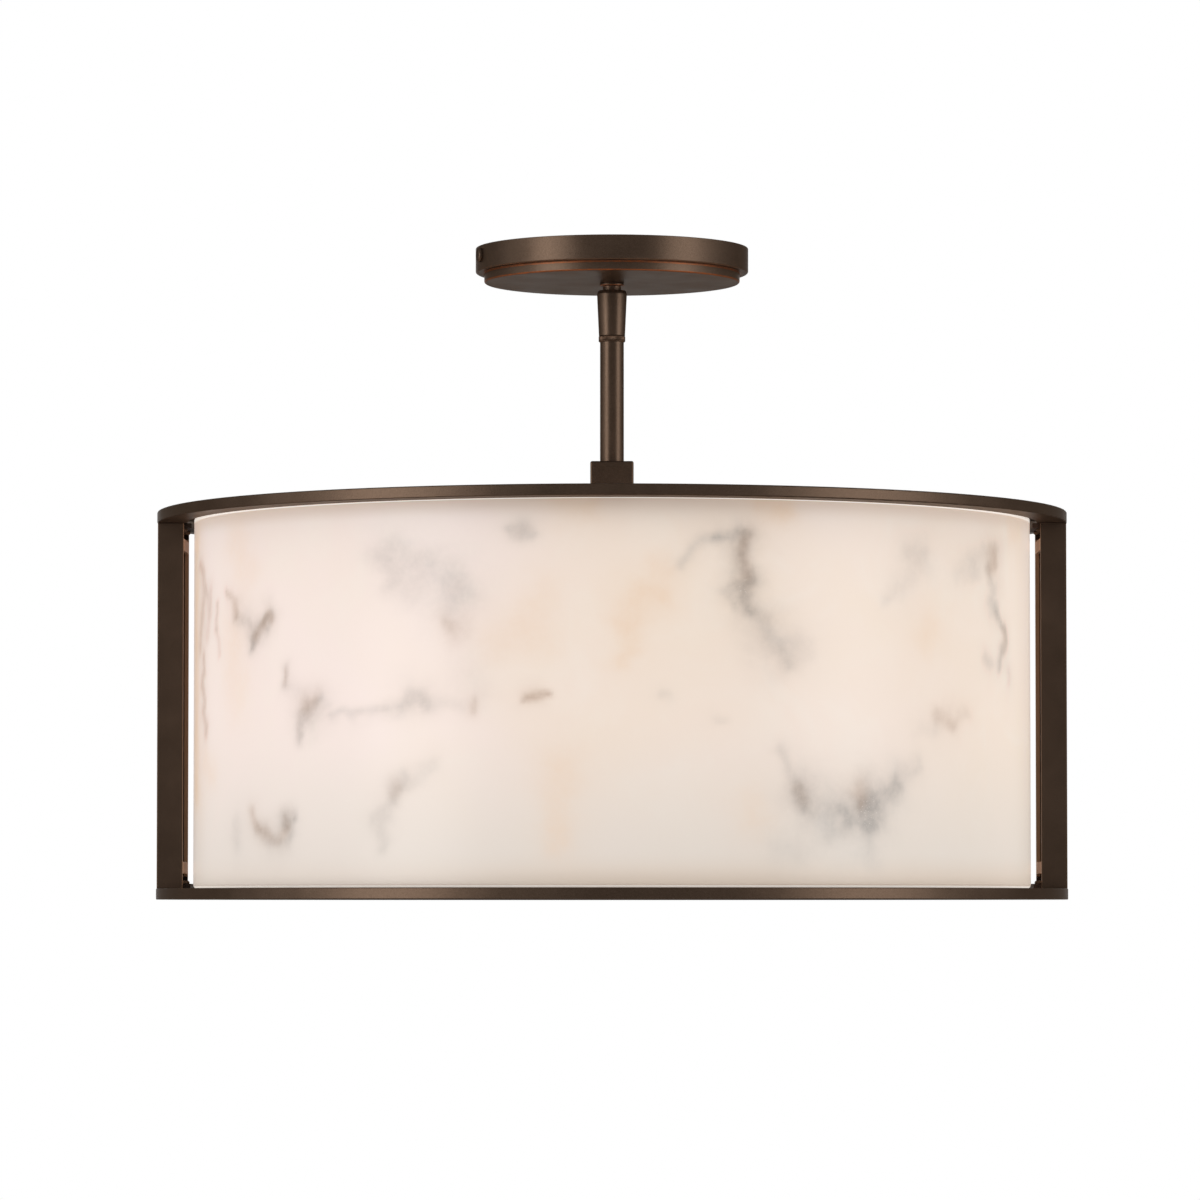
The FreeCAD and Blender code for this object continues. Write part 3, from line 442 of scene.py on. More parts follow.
# ------------------------------------------------ veins in the shade
# Each stroke is its strength, then points of (across, level, half-width) in millimetres on the unrolled
# wall: across counts to the right from the middle of the front, and level up from the shade's foot.
SMOKE_STROKES = [
    (0.3, [(-222, 133, 3.6), (-216, 130, 5.1), (-211, 129, 4.9), (-207, 125, 4.8), (-204, 119, 3.9),
            (-204, 116, 3.1)]),
    (0.52, [(-204, 116, 2), (-203, 120, 3.1), (-200, 124, 3.8), (-197, 127, 2.6), (-194, 131, 2.2)]),
    (0.38, [(-194, 131, 2.2), (-189, 133, 2.9), (-189, 130, 2.9), (-193, 125, 2.2)]),
    (0.25, [(-177, 105, 1.7), (-177, 99, 2)]),
    (0.12, [(-174, 98, 4), (-169, 94, 3.9)]),
    (0.45, [(-167, 72, 1.9), (-166, 78, 3.2), (-164, 82, 4.4), (-160, 86, 5), (-155, 89, 3.7),
            (-152, 91, 2.4)]),
    (0.16, [(-159, 79, 3.7), (-152, 82, 3.6), (-148, 87, 3)]),
    (0.25, [(-144, 81, 2.1), (-136, 83, 2.3), (-132, 81, 2.8), (-126, 82, 2.2), (-119, 83, 1.6),
            (-110, 85, 1.6)]),
    (0.4, [(-103, 86, 4.2), (-99, 89, 5.2), (-94, 90, 4.1), (-91, 87, 3.1)]),
    (0.15, [(-88, 88, 3.6), (-81, 88, 4), (-73, 86, 3.5)]),
    (0.38, [(-200, 29, 3.1), (-195, 26, 3.7), (-189, 24, 4.3), (-183, 24, 4.9), (-177, 23, 4),
            (-174, 27, 3.3), (-176, 31, 3.3)]),
    (0.46, [(-178, 32, 2.4), (-176, 33, 2.7), (-172, 34, 2.6), (-168, 35, 1.9)]),
    (0.2, [(-221, 30, 5.3), (-220, 22, 5.2)]),
    (0.14, [(-86, 59, 3), (-91, 56, 3.1), (-96, 52, 3.6), (-101, 49, 3.1)]),
    (0.3, [(-102, 52, 2.1), (-105, 49, 2.6), (-108, 47, 3.2), (-109, 43, 2.7)]),
    (0.2, [(-109, 43, 3.2), (-109, 40, 3.7), (-115, 36, 4.8), (-118, 32, 4.3)]),
    (0.2, [(-111, 32, 2.7), (-113, 29, 2.7), (-114, 24, 2.7), (-116, 17, 2.2)]),
    (0.21, [(-117, 157, 5.4), (-113, 155, 5.4), (-109, 151, 4.8), (-108, 147, 4.8), (-111, 143, 3.7)]),
    (0.14, [(-108, 161, 6.4), (-104, 160, 4.2)]),
    (0.15, [(-97, 152, 4.6), (-91, 153, 5.6)]),
    (0.12, [(-102, 141, 6.3), (-95, 136, 6.2)]),
    (0.13, [(-80, 141, 8), (-78, 134, 7.5), (-77, 127, 6)]),
    (0.14, [(-72, 142, 6.9), (-68, 140, 4.9)]),
    (0.3, [(-49, 168, 2.4), (-44, 168, 2.8)]),
    (0.32, [(-41, 168, 2.6), (-37, 167, 2.4)]),
    (0.24, [(33, 151, 2.8), (35, 155, 3.3), (38, 160, 3.3), (41, 163, 3.3), (45, 165, 2.9),
            (50, 165, 2.9)]),
    (0.36, [(49, 165, 2.9), (54, 165, 3.4), (59, 166, 3.4), (63, 165, 3.9)]),
    (0.54, [(63, 165, 3.4), (63, 160, 3.9), (62, 155, 3.9), (62, 152, 3.9), (64, 147, 3.9),
            (64, 142, 3.4)]),
    (0.32, [(62, 142, 3.9), (58, 139, 4.4), (55, 137, 3.4), (57, 134, 2.4)]),
    (0.4, [(64, 140, 3.4), (65, 135, 3.4), (66, 131, 3.9), (67, 129, 2.9)]),
    (0.28, [(67, 130, 4.9), (71, 125, 5.9), (75, 120, 6.9), (79, 115, 7), (82, 110, 5.5),
            (84, 106, 4)]),
    (0.18, [(82, 111, 6.5), (90, 111, 6.6), (95, 112, 5.1)]),
    (0.18, [(157, 160, 5.6), (163, 161, 5.7), (166, 162, 4.5)]),
    (0.14, [(167, 156, 5.8), (161, 152, 5.7), (156, 148, 6.1), (150, 143, 6), (145, 140, 4.1),
            (140, 137, 2.9)]),
    (0.15, [(207, 160, 4.8), (216, 162, 5.1), (226, 164, 5.5), (238, 164, 5.1)]),
    (0.31, [(224, 155, 3), (226, 150, 4.2), (230, 146, 5), (226, 141, 4.2), (230, 136, 4.4)]),
    (0.42, [(231, 135, 3), (236, 131, 2.8), (242, 126, 3), (244, 122, 3.1), (242, 117, 3),
            (238, 112, 3.2), (235, 109, 3)]),
    (0.27, [(220, 112, 3.5), (224, 109, 3.6)]),
    (0.22, [(249, 106, 3.4), (249, 100, 3.4)]),
    (0.18, [(196, 153, 6), (211, 154, 4.9)]),
    (0.12, [(165, 77, 4.5), (175, 77, 4)]),
    (0.24, [(81, 66, 2.5), (83, 62, 2.5), (85, 57, 3), (87, 53, 4.1), (90, 48, 4.6)]),
    (0.5, [(92, 45, 3.6), (93, 42, 4.1), (95, 39, 3.1)]),
    (0.27, [(95, 39, 5.1), (100, 35, 6.8), (105, 31, 6.8), (109, 26, 5.3)]),
    (0.2, [(110, 36, 7.4), (117, 35, 6.5)]),
    (0.42, [(115, 36, 2.7), (118, 33, 3.3), (123, 31, 3.8), (127, 30, 4.5)]),
    (0.62, [(126, 40, 3.3), (127, 36, 3.9)]),
    (0.6, [(130, 40, 5.1), (133, 36, 5.7), (133, 31, 4.5)]),
    (0.16, [(129, 26, 5), (130, 20, 5.1)]),
    (0.48, [(133, 42, 5.2), (140, 44, 5.4), (145, 47, 5), (148, 49, 4.4)]),
    (0.2, [(150, 51, 4.8), (155, 54, 4.6), (160, 58, 3.6)]),
    (0.16, [(24, 89, 2.4), (26, 89, 2.4)]),
    (0.11, [(49, 79, 2.4), (51, 79, 1.9)]),
    (0.14, [(83, 18, 8), (89, 17, 7.1)]),
    (0.08, [(130, 15, 6.7), (132, 11, 5.7)]),
    (0.13, [(-107, 156, 11.6), (-94, 152, 13.3), (-80, 148, 11)]),
    (0.09, [(-76, 143, 9.9), (-73, 134, 7.4)]),
    (0.1, [(-68, 101, 9.8), (-64, 93, 6.8)]),
    (0.09, [(62, 154, 9.7), (65, 135, 9.8), (76, 117, 9.9)]),
    (0.14, [(97, 46, 11.4), (111, 34, 13.9), (131, 42, 13.5)]),
]
UMBER_STROKES = [
    (0.45, [(-234, 145, 2), (-229, 142, 2.8), (-225, 138, 3.2), (-222, 134, 3.1)]),
    (0.42, [(-202, 121, 2.4), (-197, 127, 2.4), (-192, 133, 2.9), (-189, 130, 2.9)]),
    (0.26, [(-177, 104, 1.7), (-177, 100, 1.7)]),
    (0.3, [(-161, 88, 4.4), (-155, 91, 3.1)]),
    (0.34, [(-67, 84, 2), (-66, 87, 2.2)]),
    (0.56, [(-42, 88, 1.8), (-40, 89, 2.5), (-36, 90, 2.5), (-33, 91, 1.8), (-29, 91, 1.3)]),
    (0.4, [(-205, 36, 3.2), (-204, 33, 3.1), (-200, 29, 3.1)]),
    (0.32, [(-195, 26, 3), (-183, 24, 3.4), (-176, 31, 2.6)]),
    (0.22, [(-107, 48, 2.6), (-109, 45, 2.7)]),
    (0.28, [(-80, 125, 3), (-77, 123, 3)]),
    (0.13, [(-76, 118, 4.5), (-70, 125, 4.4)]),
    (0.34, [(63, 163, 3.4), (63, 156, 3.9), (64, 147, 3.4)]),
    (0.45, [(228, 163, 5.6), (229, 158, 3.8), (225, 156, 3.6)]),
    (0.3, [(242, 125, 3.2), (243, 117, 3.2)]),
    (0.3, [(177, 82, 3.4), (182, 81, 4.1), (187, 79, 3.5)]),
    (0.2, [(188, 82, 4.3), (200, 84, 3.8)]),
    (0.42, [(123, 46, 3.9), (126, 43, 3.9), (126, 40, 3.3)]),
    (0.26, [(91, 46, 3.1), (94, 41, 3.1)]),
    (0.45, [(-279, 159, 3.7), (-271, 152, 3.8), (-263, 145, 3.4)]),
    (0.38, [(-271, 143, 3.8), (-274, 137, 4.8), (-276, 128, 5), (-279, 120, 4.2)]),
    (0.36, [(-246, 139, 1.8), (-246, 133, 2), (-247, 127, 2)]),
    (0.28, [(-247, 126, 1.8), (-244, 120, 2), (-242, 115, 1.7)]),
    (0.42, [(-271, 114, 2.5), (-269, 107, 2.7), (-274, 100, 2.9), (-267, 92, 2.9), (-271, 87, 3.7),
            (-265, 80, 3.3), (-265, 76, 3.1)]),
    (0.28, [(-255, 147, 3), (-257, 139, 3)]),
    (0.25, [(-261, 135, 4), (-263, 124, 4.1)]),
]
BLUSH_STROKES = [
    (0.8, [(-294, 170, 11), (-292, 50, 11)]),
    (0.5, [(7, 122, 6.6), (8, 112, 5.6), (5, 105, 4.2)]),
    (0.45, [(11, 134, 7.5), (13, 141, 5.6)]),
    (0.55, [(20, 139, 5.2), (24, 136, 4.2)]),
    (0.35, [(22, 151, 5.7), (26, 149, 4.7)]),
    (0.28, [(-30, 139, 7.6), (-39, 126, 8.6)]),
    (0.55, [(-24, 182, 6.6), (-10, 180, 6.6)]),
    (0.65, [(75, 181, 6.9), (84, 178, 5.5)]),
    (0.5, [(255, 175, 7.4), (263, 176, 8.1)]),
    (0.3, [(-222, 169, 12.4), (-211, 153, 9.9)]),
    (0.32, [(-226, 121, 14.7), (-222, 96, 12.4)]),
    (0.3, [(-265, 62, 7), (-254, 56, 7.2)]),
    (0.28, [(67, 39, 8.8), (69, 31, 7.9)]),
    (0.4, [(-24, 57, 10.4), (-26, 22, 7.6)]),
    (0.25, [(-53, 116, 10.6), (-34, 116, 10.4)]),
    (0.35, [(171, 126, 7.8), (168, 119, 7.7)]),
]


def ripple(points, rng, wavelength):
    """Smooth wavering field of about -1 to 1: a mean of sines along directions drawn from the generator."""
    waves = 7
    directions = rng.normal(size=(waves, 3))
    directions *= (TURN / wavelength / np.linalg.norm(directions, axis=1))[:, None]
    phases = rng.uniform(0, TURN, waves)
    return np.sin(points @ directions.T + phases).sum(axis=-1) / math.sqrt(waves / 2) / 1.5


def stroke_field(strokes, across, level, round_length):
    """How strongly strokes show at each point, 0 to 1.

    A stroke is its strength times a bell of the distance, exp(-(distance / half-width) squared), laid on a
    fainter one 2.2 times as wide. The half-width is drawn out evenly along each segment, and the strongest
    segment counts. Strokes join as 1 - product of (1 - each).
    """
    clear = np.ones_like(across)
    for strength, points in strokes:
        spots = np.array(points, float)
        best = np.zeros_like(across)
        for first, last in zip(spots[:-1], spots[1:]):
            run, rise = last[:2] - first[:2]
            from_x = (across - first[0] + round_length / 2) % round_length - round_length / 2
            from_z = level - first[1]
            share = np.clip((from_x * run + from_z * rise) / max(run ** 2 + rise ** 2, 1e-9), 0, 1)
            off_square = (from_x - share * run) ** 2 + (from_z - share * rise) ** 2
            half_width = first[2] + share * (last[2] - first[2])
            reach = off_square / half_width ** 2
            best = np.maximum(best, 0.72 * np.exp(-reach) + 0.28 * np.exp(-reach / 5))
        clear *= 1 - strength * best
    return 1 - clear


def turned_over(strokes, half_round, tallest):
    """Strokes of the front carried to the back and turned upside down, where no picture shows the wall."""
    return [(strength, [(half_round - across, tallest - level, width) for across, level, width in points])
            for strength, points in strokes]


def wandering_strokes(rng, count, strengths, widths, reach, tallest):
    """More strokes for the sides and back: short walks that bend at each step, and narrow to both ends."""
    strokes = []
    for _ in range(count):
        across, level = rng.uniform(*reach), rng.uniform(12, tallest - 12)
        heading, bend = rng.uniform(0, TURN), rng.normal(0, 0.15)
        width, strength = rng.uniform(*widths), rng.uniform(*strengths)
        steps = rng.integers(4, 9)
        points = []
        for number in range(steps):
            swell = 0.35 + 0.65 * math.sin(math.pi * (number + 0.5) / steps)
            points.append((across, level, width * swell * rng.uniform(0.7, 1.3)))
            step = rng.uniform(3, 8)
            across, level = across + step * math.cos(heading), level + step * math.sin(heading)
            heading += bend + rng.normal(0, 0.3)
        strokes.append((strength, points))
    return strokes


# ------------------------------------------------ finishes
bronze = bronze_finish("bronze_coat", linear(77, 61, 49), linear(107, 88, 74), linear(176, 96, 48))
SLOT_FINISH = {
    "bronze": bronze,
    "alabaster": alabaster_finish(),
    "zinc": plain_metal("zinc_plate", linear(150, 152, 150), linear(205, 206, 203), 0.34),
    "brass": plain_metal("plain_brass", linear(176, 138, 70), linear(222, 188, 116), 0.28),
    "ground_green": plain_metal("green_plate", linear(40, 110, 58), linear(74, 150, 88), 0.36),
    "plate_white": coated("white_powder_coat", linear(226, 225, 220), linear(240, 239, 235), 0.5),
    "socket_white": coated("moulded_socket", linear(222, 219, 208), linear(236, 234, 225), 0.42, 500),
    "bulb_white": coated("bulb_housing_plastic", linear(236, 236, 233), linear(246, 246, 243), 0.38, 700),
    "bulb_frost": coated("bulb_frosted_dome", linear(244, 243, 236), linear(252, 251, 246), 0.55, 1200),
    "diffuser_frost": coated("frosted_acrylic", linear(240, 233, 222), linear(250, 244, 234), 0.45, 1500),
    "lead_white": coated("lead_insulation", linear(226, 224, 214), linear(240, 238, 230), 0.45, 600),
    "splice_grey": coated("splice_cap_plastic", linear(112, 116, 122), linear(134, 138, 144), 0.45, 700)}
# Painted glow: the frosted panel emits a faint warm light, though no lamp inside is lit.
diffuser_tree = SLOT_FINISH["diffuser_frost"].node_tree
feed(diffuser_tree, diffuser_tree.nodes["Principled BSDF"],
     {"Emission Color": (*linear(250, 238, 224), 1.0), "Emission Strength": 0.38})
UPRIGHT_MIDDLE = sum(node_levels("upright_left")) / 2
CHANNEL_HALF_INSIDE = 18.0     # half of the clear width between an upright's flanges
CHANNEL_BACK_INSIDE = 226.2    # from the light's middle to the inner face of an upright's back
CHANNEL_MOUTH = 214.5          # from the light's middle to the flanges' free edges
TIE_BACK = 216.3               # from the light's middle to just behind the ties
TIE_LEVEL = 85.0               # from an upright's middle to just past its ties
# Colours: painted shade inside the channel, painted reflection on the ties, and edge wear with painted
# highlight.
bronze_channel = channel_finish(bronze, linear(60, 42, 33), linear(190, 150, 118), linear(150, 120, 97))

node_slot = {row["node"]: row["material_slot"] for row in frame["record"]["subparts"]}
node_body = {node: body for body, names in frame["record"]["behaviour"]["bodies"].items() for node in names}

for name, node in frame["nodes"].items():
    node.data.materials.clear()
    node.data.materials.append(SLOT_FINISH[node_slot[name]])


def dress(piece, node):
    """Sets a new piece in a CAD node's place: the finish of the node's slot, and the body it rides on."""
    piece.data.materials.append(SLOT_FINISH[node_slot[node]])
    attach(piece, node_body[node])
    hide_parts(node)


def soft_copy(node, name, width, finish=None):
    """Copy of a CAD node with its faces joined, and its sharp edges rounded to a width in millimetres."""
    mesh = bpy.data.meshes.new(name)
    work = bmesh.new()
    work.from_mesh(frame["nodes"][node].data)
    bmesh.ops.remove_doubles(work, verts=work.verts, dist=1e-6)
    bmesh.ops.dissolve_limit(work, angle_limit=math.radians(0.3), verts=work.verts, edges=work.edges)
    for face in work.faces:
        face.smooth = True
    work.to_mesh(mesh)
    work.free()
    piece = new_object(name, mesh)
    bevel = piece.modifiers.new("soft_edges", "BEVEL")
    bevel.width, bevel.segments = width * MM, 2
    bevel.limit_method, bevel.angle_limit = "ANGLE", math.radians(28)
    piece.modifiers.new("flat_faces", "WEIGHTED_NORMAL")
    dress(piece, node)
    if finish:
        piece.data.materials[0] = finish


# ------------------------------------------------ canopy, swivel and stem
def canopy():
    """Stepped pan turned from its section, with copper worn through along its edges and groove."""
    radius = node_radius("canopy")
    step, wall, edge = radius - CANOPY_STEP_INSET, 1.2, 0.9
    bottom, top = node_levels("canopy")
    ledge = bottom + CANOPY_STEP_HEIGHT
    hole = 4.9
    dress(turned_piece("canopy_pan", [
        (radius - wall, top, 0.3, 0.1), (radius, top, 0.3, 0.1), (radius, ledge, edge, 0.05),
        (step + 0.9, ledge, 0, 0.3), (step, ledge, 0.2, 1.0), (step, ledge - 0.5, 0, 0.9),
        (step, bottom, edge, 0.75), (hole, bottom, 0, 0), (hole, bottom + wall, 0, 0),
        (step - wall, bottom + wall, 0.5, 0), (step - wall, ledge + wall, 0.5, 0),
        (radius - wall, ledge + wall, 0.5, 0)], count=288), "canopy")


def swivel_neck():
    """Collar and neck below the canopy's floor, and the shank above it with its thread."""
    low, high = node_levels("swivel_neck")
    bore, shank, collar, neck, waist = 2.4, 4.85, node_radius("swivel_neck"), 4.6, 3.8
    collar_top, collar_bottom = level_of("canopy", "bottom") - 0.1, level_of("canopy", "bottom") - 1.4
    sleeve_top = level_of("swivel_sleeve", "top")
    dress(turned_piece("swivel_neck_turning", [
        (bore, high, 0, 0), (shank, high, 0.4, 0.3), (shank, collar_top, 0, 0),
        (collar, collar_top, 0.2, 0.1), (collar, collar_bottom, 0.45, 0.75), (neck, collar_bottom, 0.5, 0.3),
        (neck, sleeve_top - 0.4, 0.2, 0), (waist, sleeve_top - 0.4, 0, 0), (waist, low, 0.4, 0),
        (bore, low, 0, 0)], count=96), "swivel_neck")


def swivel_sleeve():
    """Tapered sleeve with a crowned mouth and a foot that ends on the lock ring."""
    low, high = node_levels("swivel_sleeve")
    widest, mouth, stem = node_radius("swivel_sleeve"), 6.5, node_radius("stem_tube")
    dress(turned_piece("tapered_sleeve", [
        (mouth, high, 0.15, 0.1), (mouth + 0.45, high, 0.15, 0.2), (widest + 0.05, high - 1.6, 1.0, 0.0),
        (stem + 0.6, low, 0.12, 0.1), (stem, low, 0, 0), (stem, low + 10.0, 0, 0),
        (mouth, low + 10.0, 0, 0)], count=96), "swivel_sleeve")


def lock_ring():
    """Knurled band: the radius falls by a triangle wave of the angle, between two plain chamfered lips."""
    low, high = node_levels("lock_ring")
    outer, stem = node_radius("lock_ring"), node_radius("stem_tube")
    ridges, depth, lip, per_ridge = 60, 0.22, 0.5, 6
    rows = np.array([
        (stem, high), (outer - 0.45, high), (outer - 0.05, high - 0.35), (outer, high - lip),
        (outer, high - lip - 0.1), (outer, low + lip + 0.1), (outer, low + lip), (outer - 0.05, low + 0.35),
        (outer - 0.45, low), (stem, low)])
    knurled = np.array([0, 0, 0, 0, 1, 1, 0, 0, 0, 0])
    turns = even_angles(ridges * per_ridge)
    wave = np.abs((turns * ridges / TURN) % 1 * 2 - 1)
    grid = around(rows[:, 0] - depth * wave[:, None] * knurled, rows[:, 1], turns)
    wear = (1 - wave)[:, None] * knurled * 0.04
    dress(grid_piece("knurled_lock_ring", grid, {"wear": wear}, crease=50), "lock_ring")


def stem_tube():
    """Plain tube, its lower end standing on the hub."""
    low, high = node_levels("stem_tube")
    outer, inner = node_radius("stem_tube"), 4.95
    dress(turned_piece("stem", [(inner, high, 0, 0), (outer, high, 0.2, 0), (outer, low, 0.2, 0.2),
                                (inner, low, 0, 0)], count=96), "stem_tube")


# ------------------------------------------------ frame and shade
def lower_ring():
    """Flat ring with slightly rounded edges."""
    low, high = node_levels("bottom_ring")
    inner, outer = 198.0, node_radius("bottom_ring")
    dress(turned_piece("lower_ring", [(inner, high, 0.5, 0), (outer, high, 0.5, 0), (outer, low, 0.5, 0),
                                      (inner, low, 0.5, 0)], count=360), "bottom_ring")


def shade_wall():
    """Cast drum wall, its section carried round in fine steps so that the veins have points to lie on.

    Columns lie closer at the front: angle = t - 0.38 sin t, with t even round the turn. The outer face has
    evenly spaced levels, and each edge is a quarter arc on which the rim mark paints a highlight. The glow
    mark is painted glow, emitted though no lamp is lit; it falls off with the distance from the foot, from
    the top edge and from the middle line of each upright, where the rings and uprights would shade the wall,
    and the top edge's is weaker at the front and the back. A painted highlight line runs along the top of
    the outer face, just under the upper ring.
    """
    low, high = node_levels("shade")
    outer = node_radius("shade")
    inner, edge, lip = outer - SHADE_WALL, SHADE_ROUND, SHADE_TOP_ROUND
    arc = np.linspace(0, math.pi / 2, 6)
    gleam = high - SHADE_GLEAM_DEPTH
    rise = np.concatenate([np.linspace(low + edge, gleam - 0.3, 111), [gleam, high - lip]])
    outside = np.stack([np.full_like(rise, outer), rise], axis=1)
    over = np.stack([outer - lip + lip * np.cos(arc[1:]), high - lip + lip * np.sin(arc[1:])], axis=1)
    down = np.stack([inner + edge - edge * np.sin(arc), high - edge + edge * np.cos(arc)], axis=1)
    inside = np.stack([np.full(12, inner), np.linspace(high - edge, low + edge, 14)[1:-1]], axis=1)
    under = np.stack([inner + edge - edge * np.cos(arc), low + edge - edge * np.sin(arc)], axis=1)
    back = np.stack([outer - edge + edge * np.sin(arc[1:-1]), low + edge - edge * np.cos(arc[1:-1])], axis=1)
    section = np.concatenate([outside, over, down, inside, under, back])
    even = np.linspace(-math.pi, math.pi, 640, endpoint=False)
    turns = even - 0.38 * np.sin(even)
    grid = around(*section.T, turns)

    rng = np.random.default_rng(20)
    unrolled = around(outer, section[:, 1], turns)
    across = turns[:, None] * outer + np.zeros(len(section))
    level = section[None, :, 1] - low + np.zeros((len(turns), 1))
    across = across + 1.2 * ripple(unrolled, rng, 17) + 0.45 * ripple(unrolled, rng, 7)
    level = level + 1.2 * ripple(unrolled, rng, 17) + 0.45 * ripple(unrolled, rng, 7)
    length, tallest = TURN * outer, high - low
    hidden = (310, length - 310)
    smoke, umber, blush = (
        strokes + turned_over(strokes, length / 2, tallest)
        + wandering_strokes(rng, count, strengths, widths, hidden, tallest)
        for strokes, count, strengths, widths in (
            (SMOKE_STROKES, 12, (0.12, 0.38), (3, 6)), (UMBER_STROKES, 8, (0.2, 0.4), (2, 4)),
            (BLUSH_STROKES, 10, (0.2, 0.4), (5, 10))))
    through = np.where(section[:, 0] > inner + edge * 0.9, 1.0, 0.5)

    # Rim: the middles of the rounded edges, where a painted highlight goes, and painted glow at the foot.
    rim = ((section[:, 0] > inner + 0.2) & (section[:, 0] < outer - 0.15)) * 1.0
    from_upright = np.abs(np.abs(turns) - math.pi / 2) * outer
    beside = np.exp(-(from_upright / UPRIGHT_GLOW_REACH) ** 2)[:, None]
    foot = np.exp(-(section[:, 1] - low) / EDGE_GLOW_REACH)[None, :]
    crown = np.exp(-(high - section[:, 1]) / EDGE_GLOW_REACH)[None, :]
    lower_rim = rim[None, :] * (section[None, :, 1] < (low + high) / 2)
    # Painted highlight: a thin bright line on the outer face just under the upper ring.
    top_line_highlight = ((section[:, 1] > gleam - 0.1) & (section[:, 0] > outer - 0.15))[None, :] * 1.0
    crown = crown * (0.08 + 0.45 * (1 - np.cos(turns) ** 6))[:, None]
    # Painted glow: emission beside the uprights, at the foot, at the top edge, on the lower rim and on the
    # top line, a little more on the right.
    glow = (0.07 + 0.04 * np.sin(turns)[:, None] + 0.43 * beside + 0.2 * foot + crown + 0.4 * lower_rim
            + 0.45 * top_line_highlight)
    marks = {
        "smoke": stroke_field(smoke, across, level, length) * through,
        "umber": stroke_field(umber, across, level, length) * through,
        "blush": stroke_field(blush, across, level, length) * through,
        "rim": np.broadcast_to(np.maximum(rim, 0.8 * top_line_highlight), grid.shape[:2]),
        "glow": np.clip(glow, 0, 1)}
    dress(grid_piece("alabaster_drum", grid, marks, crease=60), "shade")


# ------------------------------------------------ lamps, diffuser and finial
def lamp_centre(number):
    """Plan position of a bulb's axis, in millimetres."""
    low, high = node_box(f"bulb_dome_{number}")
    return (low[0] + high[0]) / 2, (low[1] + high[1]) / 2


def bulb_screw_base(number):
    """Rolled screw base: contact button, insulating shoulder, then a round thread down to the housing."""
    low, high = node_levels(f"bulb_base_{number}")
    radius, shoulder = node_radius(f"bulb_base_{number}"), 3.6
    cap = [(0, high, 0), (2.6, high, 0), (3.6, high - 0.3, 0), (4.0, high - 0.9, 0), (4.0, high - 1.6, 0),
           (radius - 2.2, high - shoulder + 0.6, 0), (radius - 1.4, high - shoulder, 0),
           (radius - 0.9, high - shoulder - 0.6, 0)]
    body = thread_rows(radius, high - shoulder - 1.2, low + 1.2, EDISON_PITCH, 9)
    foot = [(radius - 0.2, low + 0.3, 0), (radius - 0.2, low, 0), (0, low, 0)]
    rows = np.concatenate([cap, body, foot])
    dress(threaded_piece(f"screw_base_{number}", rows, EDISON_PITCH, 0.9, 72, lamp_centre(number), True),
          f"bulb_base_{number}")


def socket_shell(number):
    """Screw shell in the socket, with a thread rolled outwards into its wall."""
    node = f"socket_liner_{number}"
    low, high = node_levels(node)
    outer = node_radius(node)
    inner = outer - 0.9
    bore = thread_rows(inner, low + 0.6, high - 0.6, EDISON_PITCH, 9)
    rows = np.concatenate([[(outer, high, 0), (outer, low, 0), (inner, low, 0)], bore, [(inner, high, 0)]])
    dress(threaded_piece(f"socket_shell_{number}", rows, EDISON_PITCH, -0.65, 72, lamp_centre(number)), node)


def bulb_body(number):
    """Flared housing with a thin parting groove above its rim."""
    node = f"bulb_housing_{number}"
    low, high = node_levels(node)
    rim, neck, neck_length = node_radius(node), 13.0, 12.0
    dress(turned_piece(f"bulb_flare_{number}", [
        (0, high, 0, 0), (neck, high, 0.5, 0), (neck, high - neck_length, 14.0, 0),
        (rim - 0.3, low + 2.4, 1.2, 0), (rim - 0.3, low + 1.2, 0.1, 0), (rim - 0.9, low + 1.0, 0, 0),
        (rim - 0.9, low + 0.6, 0, 0), (rim, low + 0.4, 0.1, 0), (rim, low, 0.1, 0), (0, low, 0, 0)],
        count=96, steps=14, centre=lamp_centre(number)), node)


def bulb_globe(number):
    """Frosted dome: a short wall, then a half ball, with its inside a wall's thickness within."""
    node = f"bulb_dome_{number}"
    low, high = node_levels(node)
    radius, wall = node_radius(node), 1.2
    swing = np.linspace(0, math.pi / 2, 30)
    bowl = np.stack([np.cos(swing), -np.sin(swing)], axis=1)
    middle = np.array([0, low + radius])
    outside = np.concatenate([[[radius, high - 0.3]], middle + radius * bowl])
    inside = np.concatenate([[[radius - wall, high]], middle + (radius - wall) * bowl])
    section = np.concatenate([inside[::-1], [[radius - 0.3, high]], outside])
    section = np.maximum(section, [0, -np.inf])
    grid = around(*section.T, even_angles(96)) + np.array([*lamp_centre(number), 0])
    dress(grid_piece(f"frosted_globe_{number}", grid, wrap_rows=False, crease=60), node)


def finial_thread():
    """Thin threaded rod down the middle of the drum."""
    low, high = node_levels("finial_rod")
    radius = node_radius("finial_rod")
    body = thread_rows(radius, high - 0.4, low + 0.4, 0.9, 5)
    end = radius - 0.3
    rows = np.concatenate([[(0, high, 0), (end, high, 0)], body, [(end, low, 0), (0, low, 0)]])
    dress(threaded_piece("threaded_rod", rows, 0.9, 0.16, 16, polar=True), "finial_rod")


def finial_knob():
    """Low round knob, bored from above for the rod."""
    low, high = node_levels("finial")
    radius, bore, middle = node_radius("finial"), node_radius("finial_rod"), (low + high) / 2
    dress(turned_piece("finial_knob", [
        (0, middle, 0, 0), (bore, middle, 0, 0), (bore, high, 0.1, 0), (radius, high, 0.4, 0.3),
        (radius, high - 2.7, 0.8, 0.7), (radius * 0.6, low, 1.5, 0.3), (0, low, 0, 0)], count=96), "finial")


